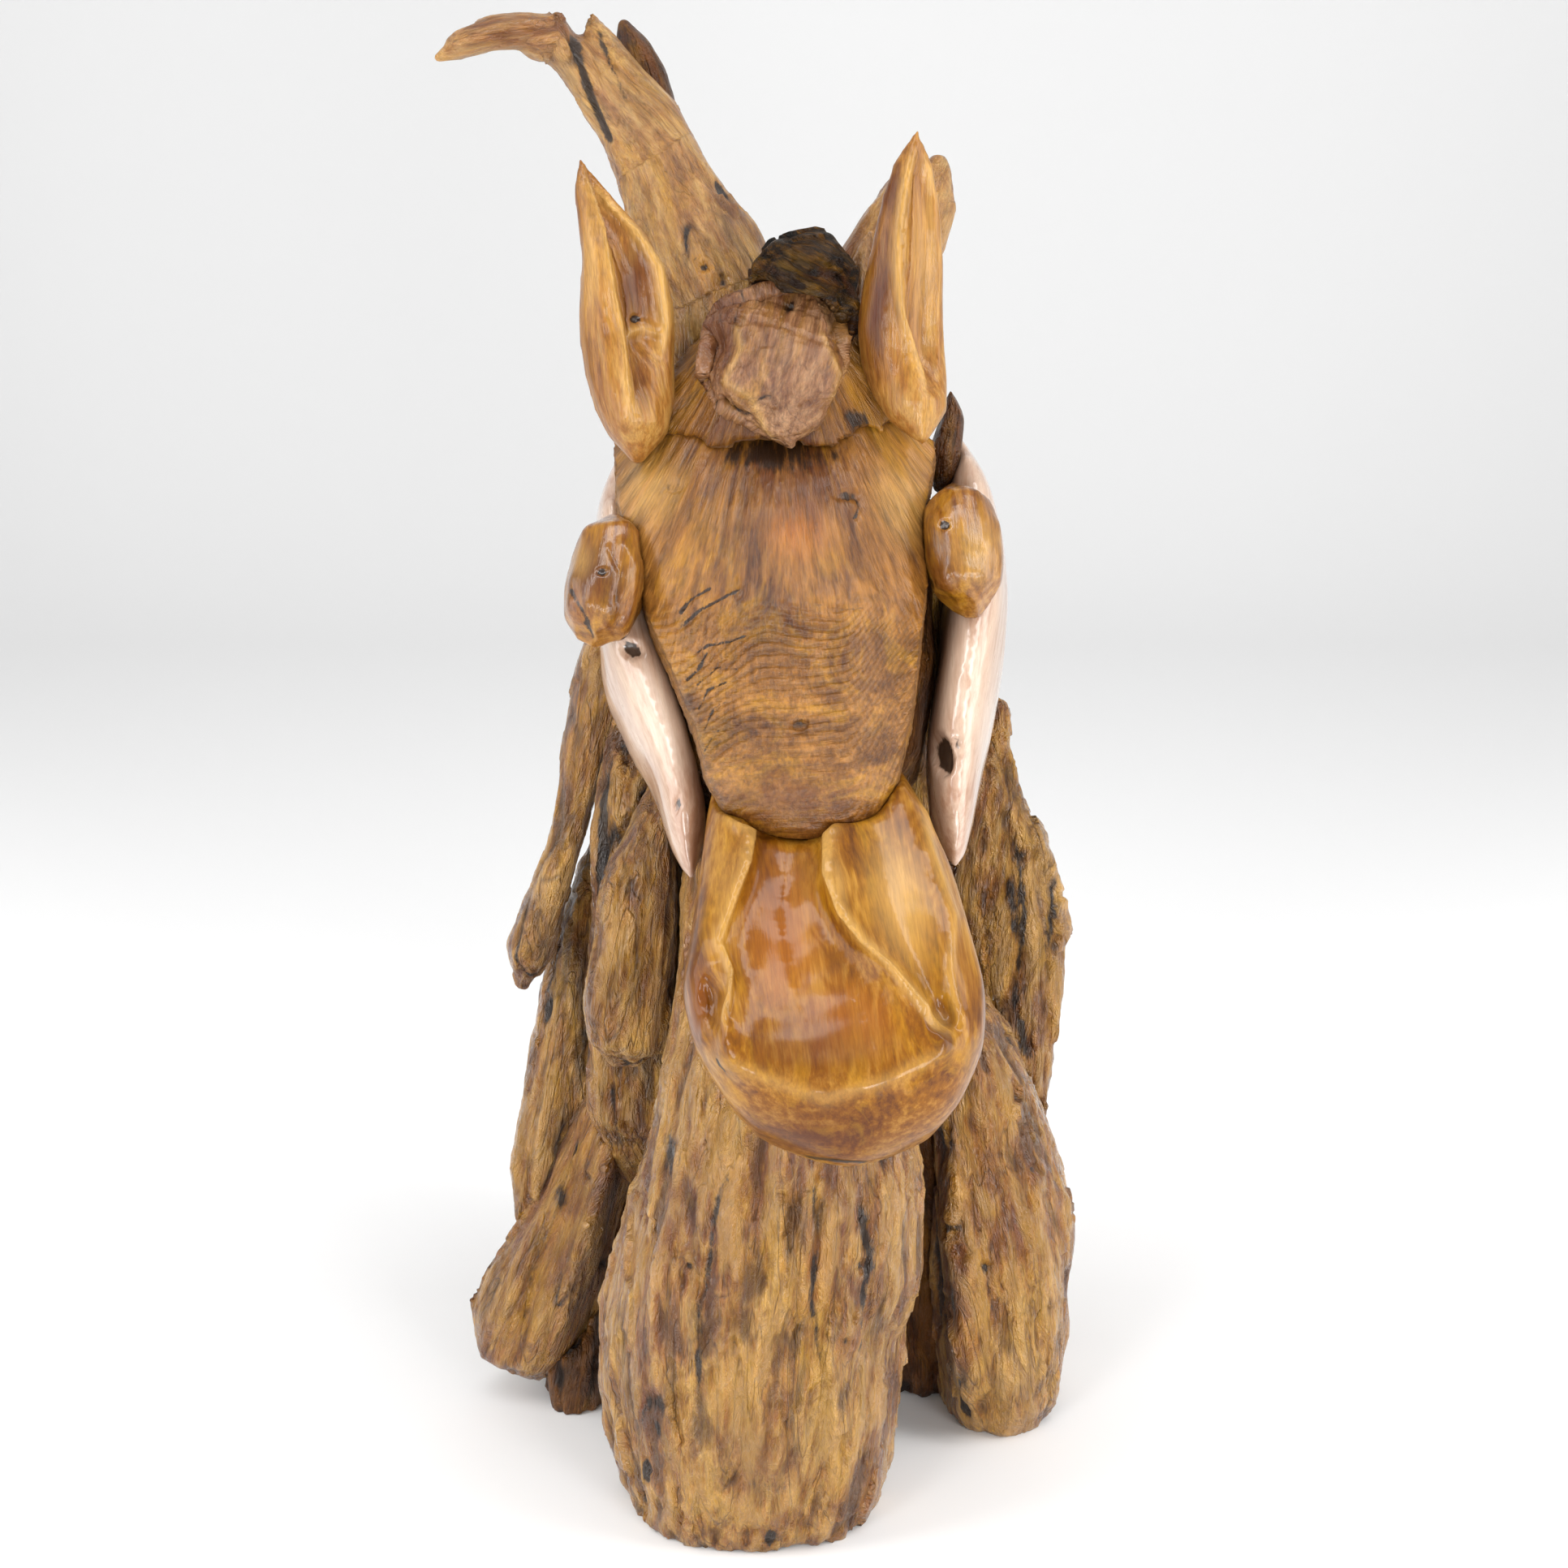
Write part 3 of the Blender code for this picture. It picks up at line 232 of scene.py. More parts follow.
def grain_places(points, path=None):
    """Every point across, through and along the grain, in metres."""
    if path is None:
        centre = points.mean(axis=0)
        thinned = (points - centre)[:: max(1, len(points) // SAMPLE)]
        _, _, axes = np.linalg.svd(thinned, full_matrices=False)
        long_axis = axes[0] * (1 if axes[0][2] >= 0 else -1)
        path = [centre - long_axis, centre + long_axis]
    path = np.array(path, float)
    best = np.full(len(points), 1e9)
    made = np.zeros((len(points), 3))
    passed = 0.0
    for a, b in zip(path, path[1:]):
        length = np.linalg.norm(b - a)
        step = (b - a) / length
        across = np.cross(step, (0, 1, 0))
        across /= np.linalg.norm(across)
        through = np.cross(step, across)
        t = (points - a) @ step
        held = np.clip(t, 0, length)
        gap = points - a - held[:, None] * step
        away = np.linalg.norm(gap, axis=1)
        nearer = away < best
        place = np.stack([gap @ across, gap @ through, passed + t], axis=1)
        made[nearer] = place[nearer]
        best = np.where(nearer, away, best)
        passed += length
    return made


# Marks the material colours: the first darkens stains and knot cores and paints shade in holes, grooves,
# cracks and pits; the second lightens paler wood and paints highlights on ridges and rims; the last darkens
# reddish wood and in places paints shade.
MARKS = ("stain", "pale", "warm", "red")
FACING = (-0.05, 0.25)  # the slopes to the camera between which the photograph's carving comes in
# How the noise of each relief is drawn out along the grain
LUMP_STRETCH = (1, 1, 0.5)
FURROW_STRETCH = (1.7, 1.7, 2.4)
CRACK_STRETCH = (1, 1, 0.12)
CRACK_PLACES = (1, 1, 0.5)
PIT_STRETCH = (1, 1, 0.45)
FIBRE_SWAY = 0.006  # metres
FIBRE_SWAYS = (12, 12, 14)  # a metre
PIT_RADIUS = 0.3  # share of the pits' spacing


class Piece:
    """One piece of wood while it is being carved.

    Lines, places and their widths are in the photograph's pixels; other sizes, heights and depths are in
    millimetres. Each kind of relief adds a number of its own to the piece's seed.
    """

    def __init__(self, node, voxel, spread, seed, swell=0.0, path=None):
        """Swell gives back what the smoothing takes."""
        self.node = node
        self.obj = fine_mesh(node, voxel, spread)
        self.points = read(self.obj.data, "co")
        self.normals = read(self.obj.data, "normal")
        self.place = seen(self.points)
        self.grain = grain_places(self.points, path)
        to_camera = CAMERA - self.points
        to_camera /= np.linalg.norm(to_camera, axis=1)[:, None]
        self.front = soft(*FACING, (self.normals * to_camera).sum(axis=1))
        self.height = np.full(len(self.points), swell)
        self.relief = np.zeros(len(self.points))
        self.marks = {name: np.zeros(len(self.points)) for name in MARKS}
        self.seed = seed

    def lumps(self, size, height):
        """Broad unevenness."""
        scale = np.array(LUMP_STRETCH) / (size * MM)
        self.height += height * noise(self.grain * scale, self.seed)
        self.height += 0.4 * height * noise(self.grain * scale * 2.3, self.seed + 1)

    def fibres(self, size, height, stretch=10.0):
        """Long ridges and furrows along the grain."""
        bent = self.grain.copy()
        bent[:, 0] += FIBRE_SWAY * noise(self.grain * FIBRE_SWAYS, self.seed + 2)
        bent[:, 1] += FIBRE_SWAY * noise(self.grain * FIBRE_SWAYS, self.seed + 3)
        value = noise(bent * np.array((1, 1, 1 / stretch)) / (size * MM), self.seed + 4)
        drawn = np.array(FURROW_STRETCH) / (1, 1, stretch)
        furrow = noise(bent * drawn / (size * MM), self.seed + 5)
        value += 0.8 * (0.25 - np.abs(furrow))
        self.relief += height * value

    def cracks(self, size, depth, width=0.07, amount=0.0):
        """Splits along the grain, dark with painted shade, where amount is nearer 1 for fewer of them."""
        value = np.abs(noise(self.grain * np.array(CRACK_STRETCH) / (size * MM), self.seed + 6))
        where = noise(self.grain * np.array(CRACK_PLACES) / (size * MM), self.seed + 7)
        split = np.exp(-((value / width) ** 2)) * soft(amount, amount + 0.25, where)
        self.relief -= depth * split
        self.mark("stain", 0.6 * split)

    def chips(self, size, height, stretch=1.0):
        """Broken faces."""
        scale = np.array((1, 1, 1 / stretch)) / (size * MM)
        bent = self.grain * scale + 0.25 * noise(self.grain * scale * 2.2, self.seed + 11)[:, None]
        self.height += height * facets(bent, self.seed + 8)

    def cut(self, count, share, seed):
        """Broad flat facets: the piece loses what stands beyond each of count planes."""
        for direction in gradient(np.arange(3 * count).reshape(-1, 3), seed):
            direction = direction / np.linalg.norm(direction)
            reach = self.points @ direction
            self.points -= np.maximum(reach - np.quantile(reach, share), 0)[:, None] * direction

    def step(self, line, width, depth, side=1):
        """Lowers one side of a line drawn on the photograph and comes back up over width pixels."""
        away, which, share = along_line(self.place, line)
        drop = soft(0, STEP_EDGE, away * (which == side)) * np.exp(-((away / width) ** 2))
        self.height -= depth * self.front * ends(share, STEP_ENDS) * drop

    def pits(self, size, depth, share=0.12):
        """Scattered holes and small knots, darkened inside: painted shade in the holes and dark wood in the
        knots.
        """
        scaled = self.grain * np.array(PIT_STRETCH) / (size * MM)
        cell = np.floor(scaled)
        hole = np.zeros(len(scaled))
        for offset in product((-1, 0, 1), repeat=3):
            home = cell + np.array(offset)
            dice = gradient(home, self.seed + 9)
            there = gradient(home, self.seed + 10)[:, 0] < 2 * share - 1
            away = np.linalg.norm(scaled - (home + 0.5 + 0.4 * dice), axis=1)
            hole = np.maximum(hole, there * soft(0, 0.5, 1 - away / PIT_RADIUS))
        self.relief -= depth * hole
        self.mark("stain", 0.8 * hole)

    def ridge(self, line, width, height, side_width=None, pale=0.0):
        """A raised line drawn on the photograph; the last value paints a highlight along it."""
        raised = self.front * profile(self.place, line, width, side_width)
        self.height += height * raised
        self.mark("pale", pale * raised)

    def bend(self, line, slope, reach, side=1):
        """Folds the surface down on one side of a line, slope in millimetres for each pixel."""
        away, which, share = along_line(self.place, line)
        fall = np.minimum(away, reach) * (which == side)
        self.height -= slope * self.front * ends(share, BEND_ENDS) * fall

    def knot(self, centre, radius, height=1.6):
        """A ring of swollen wood round a dark core."""
        away = np.linalg.norm(self.place - np.array(centre), axis=1) / radius
        ring = np.exp(-(((away - 1) / 0.4) ** 2))
        core = np.exp(-((away / 0.55) ** 2))
        self.height += height * self.front * (ring - 1.4 * core)
        halo = np.exp(-(((away - 1.5) / 0.25) ** 2))
        self.mark("stain", self.front * np.maximum(0.7 * core, 0.35 * halo))

    def groove(self, line, width, depth, stain=0.7):
        """A groove drawn on the photograph, darkened inside with painted shade."""
        cut = self.front * profile(self.place, line, width)
        self.height -= depth * cut
        self.mark("stain", stain * cut)

    def scoop(self, centre, radii, depth, turn=0.0, edge=1.0):
        """An oval hollow."""
        self.height -= depth * self.front * spot(self.place, centre, radii, turn, edge)

    def hole(self, centre, radii, depth, turn=0.0, stain=0.9):
        """A hole with a sharp rim, darkened inside with painted shade."""
        self.scoop(centre, radii, depth, turn, edge=0.35)
        bottom = spot(self.place, centre, [radius * 0.95 for radius in radii], turn, 0.4)
        self.mark("stain", stain * self.front * bottom)

    def mark(self, name, values):
        """Adds to what the material colours."""
        self.marks[name] = np.maximum(self.marks[name], values)

    def tint(self, name, centre, radii, amount=1.0, turn=0.0):
        """A soft patch of colour placed on the photograph, on the side the photograph shows."""
        self.mark(name, amount * self.front * spot(self.place, centre, radii, turn))

    def finish(self, material, extra=None):
        """Moves the surface, stores what the material reads and puts the piece in the solid's place."""
        moved = (self.height + self.relief) * MM
        mesh = self.obj.data
        points = self.points + self.normals * moved[:, None]
        points = np.clip(points, cad_box[0], cad_box[1])
        mesh.vertices.foreach_set("co", points.ravel())
        mesh.update()
        write_attribute(mesh, "grain", self.grain)
        write_attribute(mesh, "hollow", np.clip(-self.relief / 1.5, -1, 1))
        for name, values in self.marks.items():
            write_attribute(mesh, name, np.clip(values, 0, 1))
        for name, values in (extra or {}).items():
            write_attribute(mesh, name, values)
        mesh.shade_smooth()
        mesh.materials.clear()
        mesh.materials.append(material)
        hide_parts(self.node)
        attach(self.obj, "root")


def each(method, rows):
    """Calls one of a piece's methods once for every row of its values."""
    for row in rows:
        method(*row)


# Materials

# Noise in the wood: places a metre across, through and along the grain, then detail, roughness, distortion
PATCHES = ((17, 17, 6), 5.0, 0.62, 0.8)
STREAKS = ((230, 230, 20), 5.0, 0.68, 0.3)
THREADS = ((900, 900, 60), 2.0, 0.6)
BANDS = ((24, 24, 9), 2.0, 0.4, 0.6)
GLOW = ((40, 40, 9), 4.0, 0.7, 1.0)
DUSK = ((26, 26, 8), 5.0, 0.72, 1.2)
FLAKES = ((80, 80, 24), 5.0, 0.68, 1.6)
FOLDS = ((48, 48, 7), 3.0, 0.55, 0.8)
GRIT = ((330, 330, 110), 2.0, 0.6)
WANDER = ((90, 90, 90), 3.0, 0.6)
RAGGED = ((120, 120, 40), 4.0, 0.7)
# The values of that noise, and of the marks, between which each part of the look comes in
GLOWING = (0.5, 0.66)
DUSKY = (0.54, 0.62)
RUSTY = (0.42, 0.5)
CREASED = (0.0, 0.02)
FLAKED_DARK = (0.36, 0.5)
FLAKED_LIGHT = (0.54, 0.66)
THREADED = (0.35, 0.62)
SUNKEN = (0.15, 1.0)
RAISED = (-0.1, -0.8)
RINGED = (0.1, 1.0)
STAIN_AND_SHADE_EDGES = (0.4, 0.62)
STAIN_AND_SHADE_FADE = (0.02, 0.3)
STREAKED = (0.3, 0.7)
BAND_COUNT = 60.0
RING_WANDER = 7.0
# Colours of the lit wood on the screen, 0 to 255
GOLD = (206, 156, 76)
RUST = (132, 76, 36)
BLACK = (34, 21, 13)
TINTS = [
    # mark, strength, colour
    ("warm", 0.85, (172, 106, 34)),
    # a dark reddish brown, also laid on as painted shade on the muzzle's lower faces and on one ear
    ("red", 0.92, (78, 36, 22)),
    # a lighter colour for paler wood, also laid on as painted highlights
    ("pale", 0.8, (226, 184, 122)),
]
RAMP = (0.40, 0.50, 0.60)  # where the tone is dark, middling and light
COAT_IOR = 1.5
BUMP_DEPTH = 0.003


class Nodes:
    """The nodes of one material, added in short calls."""

    def __init__(self, name):
        self.material = bpy.data.materials.new(name)
        self.material.use_nodes = True
        self.tree = self.material.node_tree
        self.shader = self.tree.nodes["Principled BSDF"]

    def add(self, kind, inputs, output=0, **settings):
        made = self.tree.nodes.new(kind)
        for name, value in settings.items():
            setattr(made, name, value)
        for name, value in inputs.items():
            self.join(made.inputs[name], value)
        return made.outputs[output]

    def join(self, socket, value):
        if isinstance(value, bpy.types.NodeSocket):
            self.tree.links.new(value, socket)
        else:
            socket.default_value = value

    def attribute(self, name, output="Fac"):
        made = self.tree.nodes.new("ShaderNodeAttribute")
        made.attribute_name = name
        return made.outputs[output]

    def math(self, operation, a, b=0.0):
        return self.add("ShaderNodeMath", {0: a, 1: b}, operation=operation)

    def spread(self, value, low, high, to_low=0.0, to_high=1.0):
        return self.add(
            "ShaderNodeMapRange",
            {"Value": value, "From Min": low, "From Max": high, "To Min": to_low, "To Max": to_high},
        )

    def mix(self, share, a, b, blend="MIX"):
        made = self.tree.nodes.new("ShaderNodeMix")
        made.data_type = "RGBA"
        made.blend_type = blend
        self.join(made.inputs[0], share)
        self.join(made.inputs[6], a)
        self.join(made.inputs[7], b)
        return made.outputs[2]

    def noise(self, vector, scale, detail, rough, distortion=0.0):
        stretched = self.add("ShaderNodeVectorMath", {0: vector, 1: scale}, operation="MULTIPLY")
        looks = {"Scale": 1.0, "Detail": detail, "Roughness": rough, "Distortion": distortion}
        return self.add("ShaderNodeTexNoise", {"Vector": stretched, **looks}, output="Fac")

    def ramp(self, value, dark, mid, light):
        """Three colours by tone."""
        made = self.tree.nodes.new("ShaderNodeValToRGB")
        first, last = made.color_ramp.elements
        first.position, last.position = RAMP[0], RAMP[2]
        first.color, last.color = dark, light
        made.color_ramp.elements.new(RAMP[1]).color = mid
        self.join(made.inputs[0], value)
        return made.outputs[0]


def darker(rgb, share):
    """A lit colour brought down to a share of its light."""
    return srgb(*[c * share for c in rgb])


def wood(name, light, mid, dark, gloss=0.6, coat_rough=0.12, rough=0.4, bump=0.5, fibre=1.0, figure=0.0,
         blotch=0.5, gold=0.5, rugged=0.0, rings=False, shine=0.2):
    """Varnished wood, with its colour, fibre and sheen made from the grain."""
    n = Nodes(name)
    grain = n.attribute("grain", "Vector")
    patches = n.noise(grain, *PATCHES)
    streaks = n.noise(grain, *STREAKS)
    threads = n.noise(grain, *THREADS)
    tone = n.math("ADD", n.math("MULTIPLY", patches, 0.6), n.math("MULTIPLY", streaks, 0.4))
    if figure:
        bands = n.noise(grain, *BANDS)
        waves = n.math("SINE", n.math("MULTIPLY", bands, BAND_COUNT))
        tone = n.math("ADD", tone, n.math("MULTIPLY", waves, 0.03 * figure))
    colour = n.ramp(tone, srgb(*dark), srgb(*mid), srgb(*light))
    height = n.math("ADD", n.math("MULTIPLY", threads, 0.3), streaks)
    if gold:
        glow = n.noise(grain, *GLOW)
        colour = n.mix(n.spread(glow, *GLOWING, 0.0, gold), colour, srgb(*GOLD))
    if blotch:
        dusk = n.noise(grain, *DUSK)
        colour = n.mix(n.spread(dusk, *DUSKY, 0.0, blotch), colour, darker(dark, 0.75))
    colour = n.mix(n.spread(patches, *RUSTY, 0.35 * rugged, 0.0), colour, srgb(*RUST))
    for mark, strength, tint in TINTS:
        colour = n.mix(n.math("MULTIPLY", n.attribute(mark), strength), colour, srgb(*tint))
    if rugged:
        flakes = n.noise(grain, *FLAKES)
        folds = n.noise(grain, *FOLDS)
        creases = n.spread(n.math("ABSOLUTE", n.math("SUBTRACT", folds, 0.5)), *CREASED, 1.0, 0.0)
        # painted shade and highlight: darker where the flakes sink and lighter where they lift
        colour = n.mix(n.spread(flakes, *FLAKED_DARK, 0.7 * rugged, 0.0), colour, srgb(*dark))
        colour = n.mix(n.spread(flakes, *FLAKED_LIGHT, 0.0, 0.6 * rugged), colour, srgb(*light))
        # painted shade in the creases
        colour = n.mix(n.math("MULTIPLY", creases, 0.6 * rugged), colour, darker(dark, 0.6))
        grit = n.noise(grain, *GRIT)
        lifted = n.math("ADD", n.math("MULTIPLY", flakes, 3.0), n.math("MULTIPLY", grit, 0.5))
        lifted = n.math("SUBTRACT", lifted, n.math("MULTIPLY", creases, 0.3))
        height = n.math("ADD", height, n.math("MULTIPLY", lifted, rugged))
    dim = n.spread(threads, *THREADED, 1 - 0.3 * fibre, 1.06)
    shade = n.add("ShaderNodeCombineColor", {0: dim, 1: dim, 2: dim})
    colour = n.mix(1.0, colour, shade, "MULTIPLY")
    # painted shade and highlight: the colour goes darker in the sunken relief and lighter on the raised
    # relief
    hollow = n.attribute("hollow")
    colour = n.mix(n.spread(hollow, *SUNKEN, 0.0, 0.7), colour, darker(dark, 0.6))
    colour = n.mix(n.spread(hollow, *RAISED, 0.0, 0.5), colour, srgb(*light))
    if rings:
        wander = n.noise(grain, *WANDER)
        phase = n.math("ADD", n.attribute("ring"), n.math("MULTIPLY", wander, RING_WANDER))
        waves = n.math("MULTIPLY", n.math("SINE", phase), n.attribute("ringed"))
        colour = n.mix(n.spread(waves, *RINGED, 0.0, 0.6), colour, darker(dark, 0.6))
        height = n.math("ADD", height, n.math("MULTIPLY", waves, -0.5))
    ragged = n.noise(grain, *RAGGED)
    # near black where the first mark is: stains and knot cores, and painted shade in holes, grooves, cracks
    # and pits
    stain_and_shade_ragged = n.math("ADD", n.attribute("stain"), n.math("MULTIPLY", n.math("SUBTRACT", ragged, 0.5), 1.3))
    black = n.spread(stain_and_shade_ragged, *STAIN_AND_SHADE_EDGES, 0.0, 0.94)
    black = n.math("MULTIPLY", black, n.spread(n.attribute("stain"), *STAIN_AND_SHADE_FADE))
    colour = n.mix(black, colour, srgb(*BLACK))
    shader = n.shader
    n.join(shader.inputs["Base Color"], colour)
    n.join(shader.inputs["Roughness"], n.spread(streaks, *STREAKED, rough + 0.1, rough - 0.05))
    shader.inputs["Specular IOR Level"].default_value = shine
    shader.inputs["Coat Weight"].default_value = gloss
    shader.inputs["Coat Roughness"].default_value = coat_rough
    shader.inputs["Coat IOR"].default_value = COAT_IOR
    depth = BUMP_DEPTH + BUMP_DEPTH * rugged
    bumped = n.add("ShaderNodeBump", {"Strength": bump, "Distance": depth, "Height": height})
    n.join(shader.inputs["Normal"], bumped)
    n.join(shader.inputs["Coat Normal"], bumped)
    return n.material


WOODS = {
    # colours of the lit wood on the screen, then what differs from plain varnished wood
    "face": {"light": (180, 130, 80), "mid": (140, 96, 56), "dark": (86, 52, 30),
             "gloss": 0.45, "coat_rough": 0.16, "bump": 0.6, "fibre": 1.0, "blotch": 0.3, "gold": 0.4,
             "rings": True},
    "brow": {"light": (176, 126, 72), "mid": (140, 94, 50), "dark": (92, 56, 30),
             "gloss": 0.45, "coat_rough": 0.16, "bump": 0.6, "fibre": 1.0, "blotch": 0.4, "gold": 0.4,
             "rugged": 0.4},
    "muzzle": {"light": (176, 130, 74), "mid": (138, 90, 44), "dark": (100, 60, 30),
               "gloss": 0.4, "coat_rough": 0.1, "rough": 0.35, "bump": 0.04, "fibre": 0.4, "figure": 0.8,
               "blotch": 0.2, "gold": 0.4, "shine": 0.12},
    # the cheeks' colours are their pale wood lifted further by a painted reflection of the white studio
    "cheek": {"light": (230, 206, 186), "mid": (214, 186, 166), "dark": (184, 148, 126),
              "gloss": 1.0, "coat_rough": 0.12, "rough": 0.3, "bump": 0.01, "fibre": 0.1, "blotch": 0.0,
              "gold": 0.0, "shine": 0.6},
    "eye": {"light": (184, 138, 86), "mid": (148, 100, 56), "dark": (98, 56, 32),
            "gloss": 0.8, "coat_rough": 0.1, "rough": 0.3, "bump": 0.15, "fibre": 0.6, "figure": 0.8,
            "blotch": 0.5, "gold": 0.4, "rugged": 0.2},
    "ear": {"light": (190, 148, 96), "mid": (162, 114, 70), "dark": (116, 72, 44),
            "gloss": 0.5, "coat_rough": 0.1, "rough": 0.35, "bump": 0.2, "fibre": 0.8, "figure": 0.4,
            "blotch": 0.2, "gold": 0.3, "shine": 0.1},
    "chunk": {"light": (188, 148, 114), "mid": (146, 106, 78), "dark": (98, 62, 44),
              "gloss": 0.5, "coat_rough": 0.18, "bump": 0.5, "fibre": 0.9, "figure": 0.8, "blotch": 0.4,
              "gold": 0.3, "rugged": 0.45},
    "charred": {"light": (120, 82, 40), "mid": (34, 24, 16), "dark": (10, 9, 8),
                "gloss": 0.3, "coat_rough": 0.15, "bump": 0.8, "fibre": 1.0, "blotch": 0.9, "gold": 0.15,
                "rugged": 0.7, "shine": 0.05},
    "flame": {"light": (212, 174, 120), "mid": (182, 136, 88), "dark": (128, 82, 48),
              "gloss": 0.8, "coat_rough": 0.08, "bump": 0.8, "fibre": 0.8, "blotch": 0.35, "gold": 0.5,
              "rugged": 0.5},
    "trunk": {"light": (218, 172, 106), "mid": (180, 124, 68), "dark": (122, 70, 34),
              "gloss": 1.0, "coat_rough": 0.05, "bump": 1.0, "fibre": 0.7, "blotch": 0.25, "gold": 0.7,
              "rugged": 0.8, "shine": 0.3},
    "slab": {"light": (222, 176, 110), "mid": (182, 128, 72), "dark": (116, 68, 36),
             "gloss": 1.0, "coat_rough": 0.06, "bump": 1.0, "fibre": 0.7, "blotch": 0.3, "gold": 0.7,
             "rugged": 0.9, "shine": 0.3},
    "dark": {"light": (144, 98, 58), "mid": (104, 66, 38), "dark": (60, 36, 22),
             "gloss": 0.5, "coat_rough": 0.2, "bump": 0.9, "fibre": 1.1, "blotch": 0.5, "gold": 0.3,
             "rugged": 0.8},
}


# The head

# Each row of a table below holds the values of the Piece method that the table is named for.
FIBRE_ROOT = (960, 330)  # under the forelock
FIBRE_BEND = 380  # pixels from there, past which the fibres run closer
FIBRE_PIXEL = 0.0005  # metres along the grain for each pixel
FIBRE_CLOSER = 0.000004
FIBRE_FAN = 0.16
FIBRE_DEPTH = 0.1


def brow_fibres(points):
    """Fibre places that spread downwards and outwards from under the forelock."""
    x, y = seen(points).T
    across, down = x - FIBRE_ROOT[0], y - FIBRE_ROOT[1]
    fan = np.hypot(across, down)
    turn = np.arctan2(across, down)
    along = FIBRE_PIXEL * fan + FIBRE_CLOSER * np.maximum(fan - FIBRE_BEND, 0) ** 2
    return np.stack([turn * FIBRE_FAN, points[:, 1] * FIBRE_DEPTH, along], axis=1)


FACE_PLATE_SCOOPS = [
    ((1000, 640), (70, 60), 1.4),
    ((955, 545), (120, 60), 3.0),
]
FACE_PLATE_GROOVES = [
    ([(832, 778), (862, 752), (888, 738), (918, 722)], 2.6, 1.1, 0.8),
    ([(846, 812), (872, 795), (900, 790), (926, 780)], 2.4, 0.9, 0.7),
    ([(852, 850), (884, 822), (916, 826)], 2.4, 0.8, 0.6),
    ([(866, 905), (880, 872), (900, 862)], 2.4, 0.8, 0.6),
    ([(990, 742), (1040, 752), (1075, 748)], 2.4, 0.7, 0.5),
    ([(836, 760), (850, 738), (880, 722)], 2.6, 1.2, 0.85),
    ([(842, 842), (862, 822), (872, 800)], 2.6, 1.2, 0.8),
    ([(858, 880), (872, 850), (900, 838)], 2.4, 1.0, 0.7),
    ([(866, 930), (878, 905), (892, 896)], 2.4, 1.0, 0.6),
    ([(1048, 600), (1060, 622), (1052, 642)], 3.5, 1.6, 0.7),
]
FACE_PLATE_HOLES = [
    ((985, 893), (13, 11), 2.0, 0.0, 0.5),
    ((830, 600), (14, 10), 1.6, 0.0, 0.5),
    ((1045, 610), (20, 8), 1.2, 0.0, 0.5),
]
FACE_PLATE_TINTS = [
    ("red", (965, 590), (160, 90), 0.75),
    ("stain", (960, 556), (150, 60), 0.75),
    ("stain", (900, 520), (80, 40), 0.6),
    ("stain", (760, 720), (30, 60), 0.5),
    ("warm", (985, 655), (60, 60), 0.9),
    ("red", (975, 985), (120, 70), 0.6),
    ("red", (930, 760), (160, 90), 0.2),
    ("pale", (800, 600), (60, 80), 0.6, 20),
    ("pale", (1110, 620), (50, 90), 0.5, -20),
]


# The growth rings of the nose: the rows and columns between which each of their parts comes in
FOREHEAD_ENDS = (700, 800)
RINGS_START = (715, 800)
TIP_POLISHED = (925, 985)
RINGS_RISE_LEFT = (800, 950)
RINGS_RISE_RIGHT = (1035, 1150)
RINGS_DROP_TIP = (900, 1000)
RING_WAVES = 110  # pixels
RING_PATCHES = 40
RING_TURN = 0.52  # radians for each pixel


def make_face(woods):
    face = Piece("face_plate", voxel=4.2, spread=6, seed=11, swell=0.6)
    x, y = face.place.T
    fibres = brow_fibres(face.points)
    upper = face.front * (1 - soft(*FOREHEAD_ENDS, y))
    face.grain = face.grain + (fibres - face.grain) * face.front[:, None]
    ringed = face.front * soft(*RINGS_START, y)
    polished = soft(*TIP_POLISHED, y)
    contour = y + 70 * soft(*RINGS_RISE_LEFT, x) + 150 * soft(*RINGS_RISE_RIGHT, x)
    contour = contour - 20 * soft(*RINGS_DROP_TIP, y)
    contour = contour + 16 * noise(np.stack([x, y, y * 0], axis=1) / RING_WAVES, 3)
    phase = contour * RING_TURN
    spread_lines = 0.5 + 0.5 * noise(np.stack([x * 0.4, y, y * 0], axis=1) / RING_PATCHES, 5)
    face.fibres(5.0, 1.1, 9)
    face.fibres(3.0, 0.5, 12)
    face.relief *= 1 - 0.85 * ringed
    face.relief += 0.5 * ringed * (1 - polished) * spread_lines * np.sin(phase)
    face.relief += 0.8 * upper * noise(fibres * np.array((300, 300, 40)), 8)
    face.lumps(55, 1.0)
    each(face.scoop, FACE_PLATE_SCOOPS)
    each(face.groove, FACE_PLATE_GROOVES)
    each(face.hole, FACE_PLATE_HOLES)
    each(face.tint, FACE_PLATE_TINTS)
    ringed = ringed * spread_lines * (1 - 0.6 * polished)
    face.finish(woods["face"], {"ring": phase, "ringed": ringed})


MUZZLE_LEFT_EDGE = [
    (880, 1000), (928, 1026), (923, 1060), (906, 1108), (888, 1160), (901, 1197), (899, 1227), (886, 1275),
]
MUZZLE_RIGHT_EDGE = [
    (1040, 1005), (1018, 1030), (1018, 1078), (1036, 1126),
    (1062, 1160), (1096, 1190), (1133, 1234), (1181, 1285),
]
MUZZLE_STEPS = [
    ([(888, 1165), (901, 1197), (899, 1227), (886, 1275)], 22, 3.6, -1),
]
